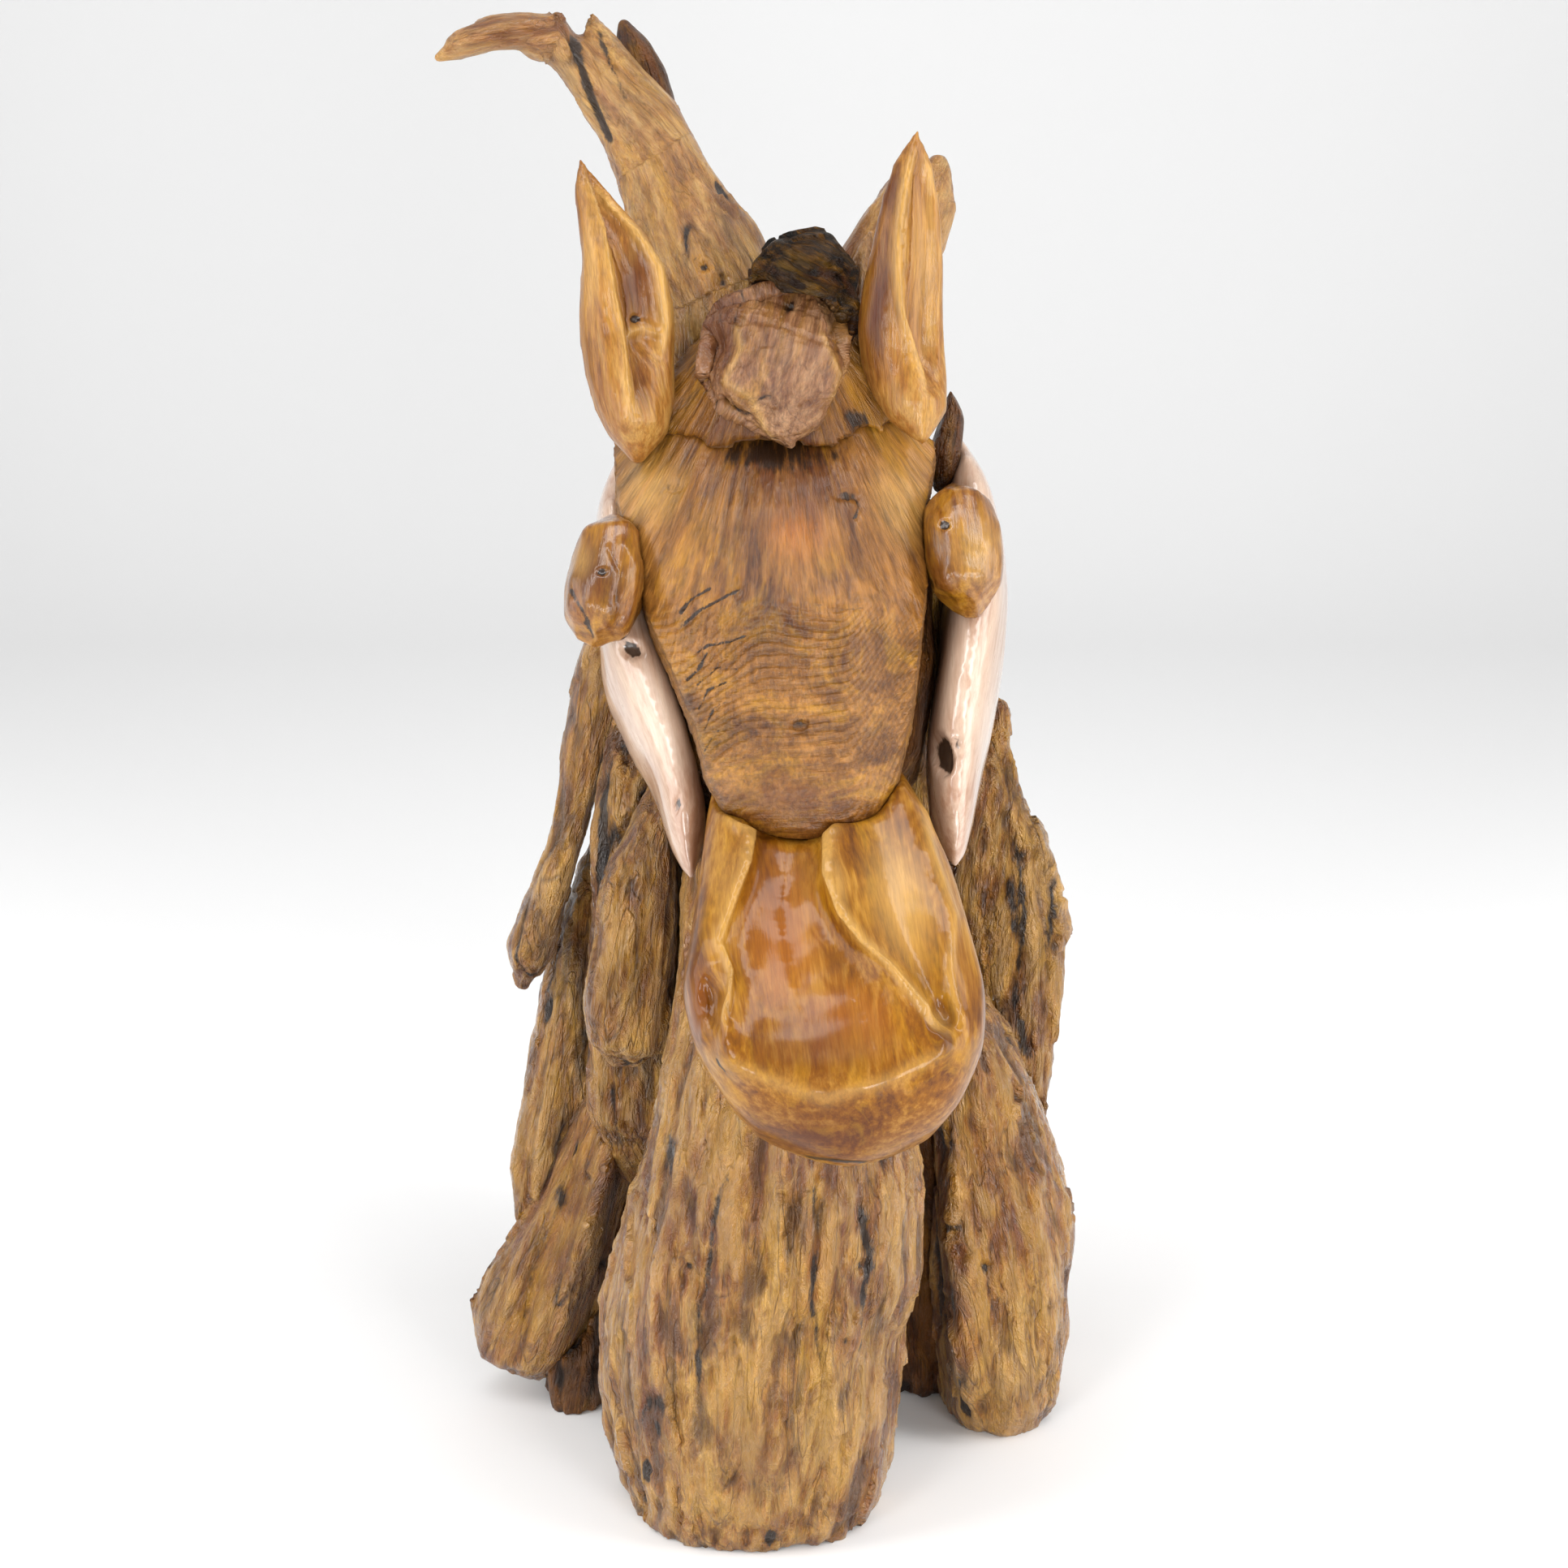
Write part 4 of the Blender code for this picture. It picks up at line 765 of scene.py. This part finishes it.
# the last value of a row paints a highlight along the ridge
MUZZLE_RIDGES = [
    ([(862, 1200), (872, 1240), (868, 1290)], 6, 1.6),
    ([(1116, 948), (1137, 982), (1146, 1049), (1174, 1130), (1170, 1197), (1181, 1275)], 7, 1.6, None,
     0.5),
    ([(858, 1286), (891, 1309), (1018, 1353), (1103, 1327), (1181, 1286)], 9, 1.6, None, 0.35),
]
MUZZLE_SCOOPS = [
    ((1160, 1250), (24, 26), 3.0, 0, 0.7),
]
MUZZLE_TINTS = [
    ("red", (862, 1235), (20, 60), 0.6),
    # painted shade: these two darken the muzzle's lower faces and the lip front, which face down
    ("red", (1010, 1285), (130, 75), 0.6),
    ("red", (1010, 1400), (170, 70), 0.5),
    ("red", (960, 1110), (60, 120), 0.2),
    ("red", (1160, 1262), (22, 34), 0.5),
    # painted highlight on the right wall of the valley
    ("pale", (1034, 1085), (16, 60), 0.5, -10),
    ("warm", (965, 1150), (75, 150), 0.8),
    ("warm", (1040, 1260), (110, 70), 0.75),
    ("warm", (862, 1235), (18, 60), 0.8),
    # painted highlights on the right ridge's plane and along the left ridge
    ("pale", (1110, 1110), (60, 130), 0.7, -16),
    ("pale", (893, 1090), (26, 100), 0.3),
]
MUZZLE_GROOVES = [
    ([(936, 1405), (985, 1424), (1040, 1431), (1114, 1435)], 2.2, 0.8, 0.85),
    ([(1046, 1210), (1070, 1270), (1098, 1322)], 1.6, 0.3, 0.45),
    ([(884, 1300), (896, 1322)], 2.0, 0.6, 0.7),
]


def make_muzzle(woods):
    muzzle = Piece("muzzle", voxel=3.6, spread=8, seed=21, swell=0.6)
    muzzle.lumps(60, 0.6)
    # the two edges carry painted highlights along their ridges
    muzzle.ridge(MUZZLE_LEFT_EDGE, 10, 2.0, 5, pale=0.6)
    muzzle.step(MUZZLE_LEFT_EDGE, 30, 3.4, 1)
    each(muzzle.step, MUZZLE_STEPS)
    each(muzzle.ridge, MUZZLE_RIDGES)
    muzzle.ridge(MUZZLE_RIGHT_EDGE, 7, 2.2, 10, pale=0.75)
    muzzle.step(MUZZLE_RIGHT_EDGE, 34, 3.4, -1)
    muzzle.step(MUZZLE_RIGHT_EDGE, 30, 2.2, 1)
    each(muzzle.scoop, MUZZLE_SCOOPS)
    each(muzzle.tint, MUZZLE_TINTS)
    each(muzzle.groove, MUZZLE_GROOVES)
    muzzle.finish(woods["muzzle"])


CHEEK_LEFT_HOLES = [
    ((835, 992), (4.5, 14), 1.5, 8, 0.6),
    ((778, 800), (18, 12), 4.0, 20),
]
CHEEK_LEFT_SCOOPS = [
    ((872, 962), (12, 14), 4, 0.0, 0.5),
]
CHEEK_RIGHT_HOLES = [
    ((1179, 915), (5, 13), 1.5, -8, 0.6),
    ((1161, 930), (15, 30), 5.0, -12),
]


def make_cheeks(woods):
    left = Piece("cheek_left", voxel=6.0, spread=17, seed=31, swell=0.8)
    left.lumps(50, 0.6)
    each(left.hole, CHEEK_LEFT_HOLES)
    each(left.scoop, CHEEK_LEFT_SCOOPS)
    left.finish(woods["cheek"])
    right = Piece("cheek_right", voxel=6.0, spread=17, seed=32, swell=0.8)
    right.lumps(50, 0.6)
    each(right.hole, CHEEK_RIGHT_HOLES)
    right.finish(woods["cheek"])


EYE_LEFT_HOLES = [
    ((742, 705), (7, 6), 2.0),
]
EYE_LEFT_GROOVES = [
    ([(700, 720), (722, 760), (730, 800)], 4, 1.0),
    ([(748, 668), (764, 705), (758, 750)], 4, 1.6, 0.5),
]
EYE_LEFT_RIDGES = [
    ([(760, 660), (782, 700), (776, 750), (756, 800)], 7, 2.0),
]
EYE_LEFT_TINTS = [
    ("red", (730, 705), (44, 66), 0.95),
    ("stain", (770, 790), (30, 30), 0.6),
    ("pale", (715, 690), (26, 40), 0.5),
]
EYE_RIGHT_HOLES = [
    ((1165, 648), (7, 7), 1.6),
]
EYE_RIGHT_RIDGES = [
    ([(1160, 630), (1172, 680), (1164, 730)], 8, 1.6),
]
EYE_RIGHT_TINTS = [
    ("red", (1165, 700), (26, 50), 0.5),
    ("pale", (1205, 680), (40, 60), 0.6),
    ("stain", (1150, 720), (20, 20), 0.5),
]


def make_eyes(woods):
    left = Piece("eye_left", voxel=3.2, spread=6, seed=41, swell=0.8)
    left.cut(8, 0.97, 8)
    left.lumps(22, 1.8)
    each(left.hole, EYE_LEFT_HOLES)
    each(left.groove, EYE_LEFT_GROOVES)
    each(left.ridge, EYE_LEFT_RIDGES)
    each(left.tint, EYE_LEFT_TINTS)
    left.finish(woods["eye"])
    right = Piece("eye_right", voxel=3.2, spread=6, seed=42, swell=0.8)
    right.cut(8, 0.97, 9)
    right.lumps(22, 1.6)
    each(right.hole, EYE_RIGHT_HOLES)
    each(right.ridge, EYE_RIGHT_RIDGES)
    each(right.tint, EYE_RIGHT_TINTS)
    right.finish(woods["eye"])


EAR_LEFT_EDGE = [(716, 200), (745, 282), (757, 359), (766, 397), (772, 440), (778, 520)]
EAR_RIGHT_EDGE = [(1131, 170), (1118, 225), (1110, 281), (1108, 330), (1112, 378), (1124, 430), (1146, 490)]
# the last value of a row paints the bright highlight along a rim
EAR_LEFT_RIDGES = [
    ([(728, 215), (775, 268), (812, 330), (820, 400), (812, 450)], 7, 2.6, None, 0.8),
    ([(770, 412), (795, 404), (818, 414)], 6, 2.5, None, 0.5),
]
EAR_LEFT_HOLES = [
    ((791, 392), (5, 6), 2.0),
]
EAR_LEFT_TINTS = [
    ("red", (785, 350), (30, 100), 0.9),
    ("red", (795, 470), (20, 60), 0.6),
    ("pale", (728, 320), (18, 110), 0.6),
]
# the last value of a row paints the bright highlight along a rim
EAR_RIGHT_RIDGES = [
    ([(1134, 180), (1158, 240), (1172, 320), (1176, 400), (1168, 470)], 8, 2.4, None, 0.6),
]
EAR_RIGHT_TINTS = [
    # partly the ear's darker wood, partly painted shade on the left facet, which the left wall light
    # brightens
    ("red", (1084, 370), (28, 150), 1.0, 8),
    ("red", (1100, 240), (16, 60), 0.7, 8),
    ("pale", (1145, 330), (26, 150), 0.5),
]


def make_ears(woods):
    left = Piece("ear_left", voxel=3.0, spread=4, seed=51, swell=0.5)
    left.lumps(40, 0.5)
    # the edge carries a painted highlight along its ridge
    left.ridge(EAR_LEFT_EDGE, 8, 2.6, 4, pale=0.6)
    left.step(EAR_LEFT_EDGE, 40, 9.0, 1)
    each(left.ridge, EAR_LEFT_RIDGES)
    each(left.hole, EAR_LEFT_HOLES)
    each(left.tint, EAR_LEFT_TINTS)
    left.fibres(9, 0.25, 12)
    left.finish(woods["ear"])
    right = Piece("ear_right", voxel=3.0, spread=4, seed=52, swell=0.5)
    right.lumps(40, 0.5)
    # the edge carries a painted highlight along its ridge
    right.ridge(EAR_RIGHT_EDGE, 8, 2.6, 5, pale=0.7)
    right.step(EAR_RIGHT_EDGE, 34, 6.0, 1)
    each(right.ridge, EAR_RIGHT_RIDGES)
    each(right.tint, EAR_RIGHT_TINTS)
    right.fibres(9, 0.25, 12)
    right.finish(woods["ear"])


FORELOCK_CHUNK_EDGE = [(860, 398), (905, 390), (945, 396), (985, 410), (1070, 440)]
FORELOCK_CHUNK_BENDS = [
    ([(905, 392), (912, 430), (893, 470), (905, 520)], 0.3, 36, -1),
    ([(1010, 400), (1034, 460), (1022, 500), (985, 548)], 0.26, 46, 1),
    ([(893, 470), (925, 492), (940, 520), (951, 562)], 0.22, 36, -1),
]
FORELOCK_CHUNK_RIDGES = [
    ([(905, 392), (912, 430), (893, 470), (925, 492), (940, 520), (951, 562)], 5, 1.2, None, 0.5),
    ([(1010, 400), (1034, 460), (1022, 500)], 5, 1.0, None, 0.4),
]
FORELOCK_CHUNK_GROOVES = [
    ([(870, 498), (900, 512), (930, 516)], 5, 2.4, 0.6),
]
FORELOCK_CHUNK_TINTS = [
    ("red", (985, 500), (60, 50), 0.35),
    ("stain", (905, 395), (50, 20), 0.45),
]
FORELOCK_KNOB_TINTS = [
    ("stain", (975, 360), (60, 55), 0.55),
]
CROWN_GROOVES = [
    ([(880, 560), (930, 575), (985, 575), (1040, 560)], 16, 3.0, 0.6),
]
CROWN_TINTS = [
    ("red", (960, 530), (170, 60), 0.7),
    ("stain", (900, 560), (60, 30), 0.6),
    ("stain", (1050, 520), (50, 40), 0.6),
]


def make_brow(woods):
    chunk = Piece("forelock_chunk", voxel=3.2, spread=2, seed=61, swell=0.8)
    chunk.cut(10, 0.98, 5)
    chunk.bend(FORELOCK_CHUNK_EDGE, 0.28, 36, 1)
    chunk.groove(FORELOCK_CHUNK_EDGE, 5, 2.0, 0.35)
    each(chunk.bend, FORELOCK_CHUNK_BENDS)
    each(chunk.ridge, FORELOCK_CHUNK_RIDGES)
    each(chunk.groove, FORELOCK_CHUNK_GROOVES)
    chunk.chips(15, 1.4)
    chunk.chips(7, 0.7)
    chunk.fibres(5, 0.4, 5)
    chunk.cracks(24, 1.5, 0.05, 0.1)
    each(chunk.tint, FORELOCK_CHUNK_TINTS)
    chunk.finish(woods["chunk"])
    knob = Piece("forelock_knob", voxel=3.2, spread=4, seed=62, swell=1.0)
    knob.chips(18, 2.5)
    knob.lumps(22, 1.6)
    knob.pits(12, 1.8, 0.3)
    each(knob.tint, FORELOCK_KNOB_TINTS)
    knob.finish(woods["charred"])
    crown = Piece("crown", voxel=4.8, spread=4, seed=63, swell=1.0)
    fibres = brow_fibres(crown.points)
    crown.grain = crown.grain + (fibres - crown.grain) * crown.front[:, None]
    crown.lumps(35, 2.4)
    crown.fibres(6, 1.4, 9)
    crown.fibres(3.5, 0.7, 9)
    each(crown.groove, CROWN_GROOVES)
    each(crown.tint, CROWN_TINTS)
    crown.finish(woods["brow"])
    skull = Piece("skull_block", voxel=9.0, spread=5, seed=64)
    skull.lumps(40, 2.0)
    skull.fibres(9, 1.4, 6)
    skull.pits(20, 2.0, 0.2)
    skull.finish(woods["dark"])
    chip = Piece("temple_chip", voxel=3.0, spread=3, seed=65)
    chip.fibres(6, 0.8, 6)
    chip.finish(woods["dark"])


# The mane

MANE_FLAME_PATH = np.array([  # the run of its grain, in metres
    (-0.036, 0.070, 0.700), (-0.044, 0.086, 0.760), (-0.085, 0.126, 0.850),
    (-0.128, 0.138, 0.900), (-0.150, 0.136, 0.932), (-0.230, 0.122, 0.918),
])
MANE_PIECES = {
    # node: (wood, slot, seed)
    "mane_strip": ("dark", "bark", 72),
    "mane_wedge": ("flame", "tan", 73),
    "mane_sliver": ("flame", "tan", 74),
}
MANE_FLAME_GROOVES = [
    ([(703, 30), (718, 90), (740, 150), (756, 185)], 6, 4.0, 0.95),
    ([(735, 30), (752, 80), (775, 130)], 5, 2.5, 0.6),
]
MANE_FLAME_KNOTS = [
    ((890, 350), 15),
    ((868, 330), 10),
]
MANE_FLAME_TINTS = [
    ("red", (780, 130), (50, 70), 0.4, -30),
    ("red", (890, 290), (40, 70), 0.45),
    ("pale", (760, 300), (60, 90), 0.35),
    ("pale", (700, 80), (30, 50), 0.5),
    ("warm", (860, 350), (50, 60), 0.4),
    ("stain", (890, 330), (36, 40), 0.55),
    ("stain", (640, 30), (20, 12), 0.4),
]
MANE_STRIP_TINTS = [
    ("stain", (850, 150), (30, 60), 0.95),
]


def make_mane(woods):
    flame = Piece("mane_flame", voxel=3.8, spread=5, path=SHIFT + MANE_FLAME_PATH, seed=71, swell=1.0)
    flame.lumps(34, 2.2)
    flame.chips(18, 1.8, 3.0)
    flame.fibres(9, 1.5, 7)
    flame.cracks(22, 2.0, 0.06, 0.05)
    flame.pits(22, 2.0, 0.12)
    each(flame.groove, MANE_FLAME_GROOVES)
    each(flame.knot, MANE_FLAME_KNOTS)
    each(flame.tint, MANE_FLAME_TINTS)
    flame.finish(woods["flame"])
    for node, (material, slot, seed) in MANE_PIECES.items():
        piece = Piece(node, voxel=3.6, spread=4, seed=seed, swell=0.8)
        piece.lumps(26, 1.6)
        piece.fibres(7, 0.9, 8)
        piece.cracks(20, 1.2, 0.06, 0.1)
        if node == "mane_strip":
            each(piece.tint, MANE_STRIP_TINTS)
        piece.finish(woods[material])


# The neck and feet

CHEST_TRUNK_GROOVES = [
    ([(1000, 1440), (1008, 1520), (1002, 1600), (1015, 1700)], 7, 3.0, 0.6),
    ([(905, 1420), (880, 1500), (862, 1620), (858, 1740)], 7, 2.5, 0.6),
    ([(1060, 1470), (1072, 1560), (1060, 1650)], 8, 3.0, 0.7),
]
CHEST_TRUNK_KNOTS = [
    ((1062, 1560), 15),
    ((1040, 1650), 12),
    ((905, 1655), 13),
    ((1090, 1700), 11),
    ((850, 1560), 10),
]
CHEST_TRUNK_BENDS = [
    ([(770, 1700), (800, 1790), (840, 1860)], 0.12, 60, -1),
    ([(1090, 1420), (1075, 1560), (1085, 1700), (1060, 1880)], 0.07, 60, 1),
]
CHEST_TRUNK_TINTS = [
    ("red", (930, 1790), (90, 90), 0.45),
    ("red", (1090, 1640), (50, 200), 0.45),
    ("red", (850, 1500), (50, 120), 0.35),
    ("stain", (830, 1420), (26, 60), 0.6),
    ("pale", (980, 1500), (70, 70), 0.4),
    ("stain", (940, 1830), (120, 30), 0.45),
]
LEG_RIGHT_BENDS = [
    ([(1165, 1420), (1182, 1520), (1190, 1640), (1200, 1740)], 0.12, 60, -1),
]
LEG_RIGHT_KNOTS = [
    ((1178, 1512), 15),
    ((1214, 1562), 14),
    ((1168, 1600), 11),
    ((1270, 1440), 11),
]
LEG_RIGHT_TINTS = [
    ("red", (1165, 1620), (30, 160), 0.5),
    ("pale", (1250, 1690), (60, 80), 0.6),
]
LEG_RIGHT_RIDGES = [
    ([(1165, 1420), (1182, 1520), (1190, 1640), (1200, 1740)], 16, 4.0),
]
LEG_RIGHT_GROOVES = [
    ([(1140, 1430), (1150, 1540), (1152, 1660)], 9, 4.0, 0.8),
]


def make_trunk(woods):
    trunk = Piece("chest_trunk", voxel=5.6, spread=6, seed=81, swell=1.0)
    trunk.lumps(60, 3.0)
    trunk.chips(24, 2.8, 3.0)
    trunk.fibres(15, 3.2, 5)
    trunk.fibres(7, 1.8, 5)
    trunk.cracks(30, 3.0, 0.05, 0.2)
    trunk.pits(20, 2.2, 0.08)
    each(trunk.groove, CHEST_TRUNK_GROOVES)
    each(trunk.knot, CHEST_TRUNK_KNOTS)
    each(trunk.bend, CHEST_TRUNK_BENDS)
    each(trunk.tint, CHEST_TRUNK_TINTS)
    trunk.finish(woods["trunk"])
    leg = Piece("leg_right", voxel=5.2, spread=5, seed=82, swell=1.0)
    leg.lumps(45, 3.2)
    leg.chips(24, 2.6, 2.5)
    leg.fibres(14, 2.8, 5)
    leg.fibres(7, 1.6, 5)
    each(leg.bend, LEG_RIGHT_BENDS)
    each(leg.knot, LEG_RIGHT_KNOTS)
    each(leg.tint, LEG_RIGHT_TINTS)
    leg.cracks(28, 2.6, 0.05, 0.05)
    leg.pits(24, 2.8, 0.15)
    each(leg.ridge, LEG_RIGHT_RIDGES)
    each(leg.groove, LEG_RIGHT_GROOVES)
    leg.finish(woods["trunk"])


SHOULDER_PIECES = {
    # node: (wood, slot, mesh size, lumps, coarse fibres, cracks, share of pits)
    "shoulder_chunk": ("slab", "rosy", 4.2, 1.8, 1.3, 1.8, 0.12),
    "slab_left_inner": ("slab", "bark", 5.2, 2.4, 2.0, 3.0, 0.2),
    "slab_left_back": ("slab", "bark", 4.6, 2.4, 1.6, 2.4, 0.2),
    "strip_left": ("slab", "honey", 3.8, 1.6, 1.2, 1.6, 0.1),
    "foot_left": ("dark", "bark", 4.6, 2.2, 1.8, 2.0, 0.2),
    "slab_right": ("slab", "bark", 5.2, 3.6, 2.2, 2.8, 0.25),
    "block_right": ("dark", "bark", 8.0, 2.6, 1.8, 2.4, 0.2),
    "neck_side_left": ("slab", "honey", 8.0, 3.0, 1.8, 2.5, 0.15),
    "neck_side_right": ("slab", "honey", 8.0, 3.0, 1.8, 2.5, 0.15),
    "neck_log": ("dark", "bark", 12.0, 4.0, 2.4, 3.0, 0.12),
    "rear_foot_left": ("slab", "honey", 8.0, 3.6, 2.0, 3.0, 0.15),
    "rear_foot_right": ("slab", "honey", 8.0, 3.6, 2.0, 3.0, 0.15),
    "crest_low": ("trunk", "honey", 7.0, 3.2, 2.0, 2.6, 0.15),
    "crest_middle": ("flame", "tan", 7.0, 3.2, 2.0, 2.6, 0.15),
    "crest_upper": ("trunk", "honey", 7.0, 3.2, 2.0, 2.6, 0.15),
}
STRIP_LEFT_TINTS = [
    ("pale", (668, 1100), (30, 150), 0.6),
]
SLAB_RIGHT_GROOVES = [
    ([(1245, 1000), (1262, 1120), (1250, 1240), (1275, 1330)], 8, 3.5, 0.7),
]
SLAB_RIGHT_KNOTS = [
    ((1292, 1040), 15),
]
SLAB_RIGHT_TINTS = [
    # painted light: brightens the slab where the leg and cheek cast shade on it
    ("pale", (1290, 1060), (60, 230), 0.6),
    ("stain", (1290, 1150), (20, 60), 0.6),
    ("stain", (1250, 1290), (50, 14), 0.7),
]
SLAB_LEFT_INNER_GROOVES = [
    ([(745, 940), (742, 1060), (722, 1150)], 6, 4.0, 0.9),
    ([(790, 960), (800, 1080), (775, 1180)], 6, 3.5, 0.9),
]
WING_LEFT_PATH = np.array([(-0.185, 0.03, 0.02), (-0.160, 0.02, 0.10), (-0.110, 0.0, 0.256)])
WING_LEFT_RIDGES = [
    ([(755, 1395), (728, 1500), (700, 1600), (672, 1700)], 10, 3.0),
]
WING_LEFT_GROOVES = [
    ([(715, 1370), (690, 1480), (655, 1570), (640, 1650)], 10, 3.5, 0.4),
]
WING_LEFT_KNOTS = [
    ((725, 1451), 9),
]
WING_LEFT_BENDS = [
    ([(755, 1395), (728, 1500), (700, 1600), (672, 1700)], 0.1, 50, 1),
    ([(700, 1400), (655, 1520), (600, 1640)], 0.1, 40, -1),
]
WING_LEFT_TINTS = [
    ("red", (720, 1560), (50, 170), 0.4, 15),
    ("stain", (735, 1340), (26, 40), 0.7),
    ("stain", (690, 1480), (24, 40), 0.6),
    ("pale", (610, 1600), (30, 90), 0.5, 25),
]


def make_shoulders(woods):
    for seed, (node, sizes) in enumerate(SHOULDER_PIECES.items()):
        material, slot, voxel, lump, fibre, crack, share = sizes
        piece = Piece(node, voxel=voxel, spread=4.5, seed=100 + 10 * seed, swell=1.0)
        piece.lumps(36, lump)
        piece.chips(20, lump, 3.0)
        piece.fibres(13, 1.7 * fibre, 5)
        piece.fibres(6, 1.4, 5)
        piece.cracks(28, crack, 0.06, 0.0)
        piece.pits(24, 2.6, share)
        if node == "strip_left":
            each(piece.tint, STRIP_LEFT_TINTS)
        if node == "slab_right":
            each(piece.groove, SLAB_RIGHT_GROOVES)
            each(piece.knot, SLAB_RIGHT_KNOTS)
            each(piece.tint, SLAB_RIGHT_TINTS)
        if node == "slab_left_inner":
            each(piece.groove, SLAB_LEFT_INNER_GROOVES)
        piece.finish(woods[material])
    wing = Piece("wing_left", voxel=4.4, spread=4, path=SHIFT + WING_LEFT_PATH, seed=91, swell=0.8)
    wing.lumps(36, 2.0)
    wing.chips(18, 1.6, 4.0)
    wing.fibres(11, 2.0, 7)
    wing.cracks(26, 2.2, 0.05, 0.05)
    each(wing.ridge, WING_LEFT_RIDGES)
    each(wing.groove, WING_LEFT_GROOVES)
    each(wing.knot, WING_LEFT_KNOTS)
    each(wing.bend, WING_LEFT_BENDS)
    each(wing.tint, WING_LEFT_TINTS)
    wing.finish(woods["trunk"])


# The studio


# Metres, watts
FLOOR_FRONT = -6.0
FLOOR_BACK = 2.2
FLOOR_BEND = 1.2  # radius of the bend between floor and back wall
FLOOR_BEND_STEPS = 13
WALL_TOP = 6.0
FLOOR_HALF = 7.0
PAPER = (0.86, 0.86, 0.86, 1)
WORLD_LIGHT = 0.48
LIT_PLACE = (0.0, 0.0, 0.5)
LIGHTS = [
    # name, place, width and height, power
    ("left_front_box", (-1.3, -2.5, 1.1), (0.7, 1.3), 26),
    ("right_front_box", (1.3, -2.5, 1.1), (0.7, 1.3), 26),
    ("low_front_box", (0.5, -3.0, 0.3), (0.5, 1.0), 26),
    ("left_wall", (-2.0, -0.4, 1.0), (1.8, 2.0), 26),
    ("right_wall", (2.0, -0.4, 1.0), (1.8, 2.0), 30),
    ("left_strip", (-0.95, -0.5, 2.6), (0.5, 2.2), 22),
    ("right_strip", (0.95, -0.5, 2.6), (0.5, 2.2), 22),
]


def make_studio():
    steps = [(FLOOR_FRONT, 0.0), (FLOOR_BACK, 0.0)]
    for turn in np.linspace(0, math.pi / 2, FLOOR_BEND_STEPS)[1:]:
        steps.append((FLOOR_BACK + FLOOR_BEND * math.sin(turn), FLOOR_BEND - FLOOR_BEND * math.cos(turn)))
    steps.append((FLOOR_BACK + FLOOR_BEND, WALL_TOP))
    corners = [(x, y, z) for y, z in steps for x in (-FLOOR_HALF, FLOOR_HALF)]
    faces = [(2 * i, 2 * i + 1, 2 * i + 3, 2 * i + 2) for i in range(len(steps) - 1)]
    mesh = bpy.data.meshes.new("floor")
    mesh.from_pydata(corners, [], faces)
    mesh.shade_smooth()
    floor = bpy.data.objects.new("floor", mesh)
    bpy.context.scene.collection.objects.link(floor)
    paper = bpy.data.materials.new("pale_floor")
    paper.use_nodes = True
    shader = paper.node_tree.nodes["Principled BSDF"]
    shader.inputs["Base Color"].default_value = PAPER
    shader.inputs["Roughness"].default_value = 0.9
    shader.inputs["Specular IOR Level"].default_value = 0.1
    mesh.materials.append(paper)
    each(add_light, LIGHTS)
    world = bpy.data.worlds.new("studio")
    world.use_nodes = True
    background = world.node_tree.nodes["Background"]
    background.inputs[0].default_value = (1, 1, 1, 1)
    background.inputs[1].default_value = WORLD_LIGHT
    bpy.context.scene.world = world
    bpy.context.scene.view_settings.view_transform = "Standard"


def add_light(name, place, size, power):
    lamp = bpy.data.lights.new(name, "AREA")
    lamp.shape = "RECTANGLE"
    lamp.size, lamp.size_y = size
    lamp.energy = power
    made = bpy.data.objects.new(name, lamp)
    made.location = place
    made.rotation_euler = (Vector(LIT_PLACE) - Vector(place)).to_track_quat("-Z", "Y").to_euler()
    bpy.context.scene.collection.objects.link(made)


def make_camera():
    lens = bpy.data.cameras.new("camera")
    lens.sensor_width = SENSOR
    lens.lens = SENSOR * FOCAL / FRAME
    camera = bpy.data.objects.new("camera", lens)
    camera.location = CAMERA
    camera.rotation_euler = (math.pi / 2 - PITCH, 0, 0)
    bpy.context.scene.collection.objects.link(camera)
    bpy.context.scene.camera = camera


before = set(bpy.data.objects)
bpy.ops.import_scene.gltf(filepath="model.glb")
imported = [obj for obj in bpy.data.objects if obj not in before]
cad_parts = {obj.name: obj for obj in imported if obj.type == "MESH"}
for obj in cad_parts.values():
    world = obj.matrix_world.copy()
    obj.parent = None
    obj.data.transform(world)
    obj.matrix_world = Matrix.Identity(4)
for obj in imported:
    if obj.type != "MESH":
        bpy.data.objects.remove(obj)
cad_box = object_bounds()
make_camera()
make_studio()
materials = {name: wood(f"{name}_wood", **looks) for name, looks in WOODS.items()}
make_face(materials)
make_muzzle(materials)
make_cheeks(materials)
make_eyes(materials)
make_ears(materials)
make_brow(materials)
make_mane(materials)
make_trunk(materials)
make_shoulders(materials)
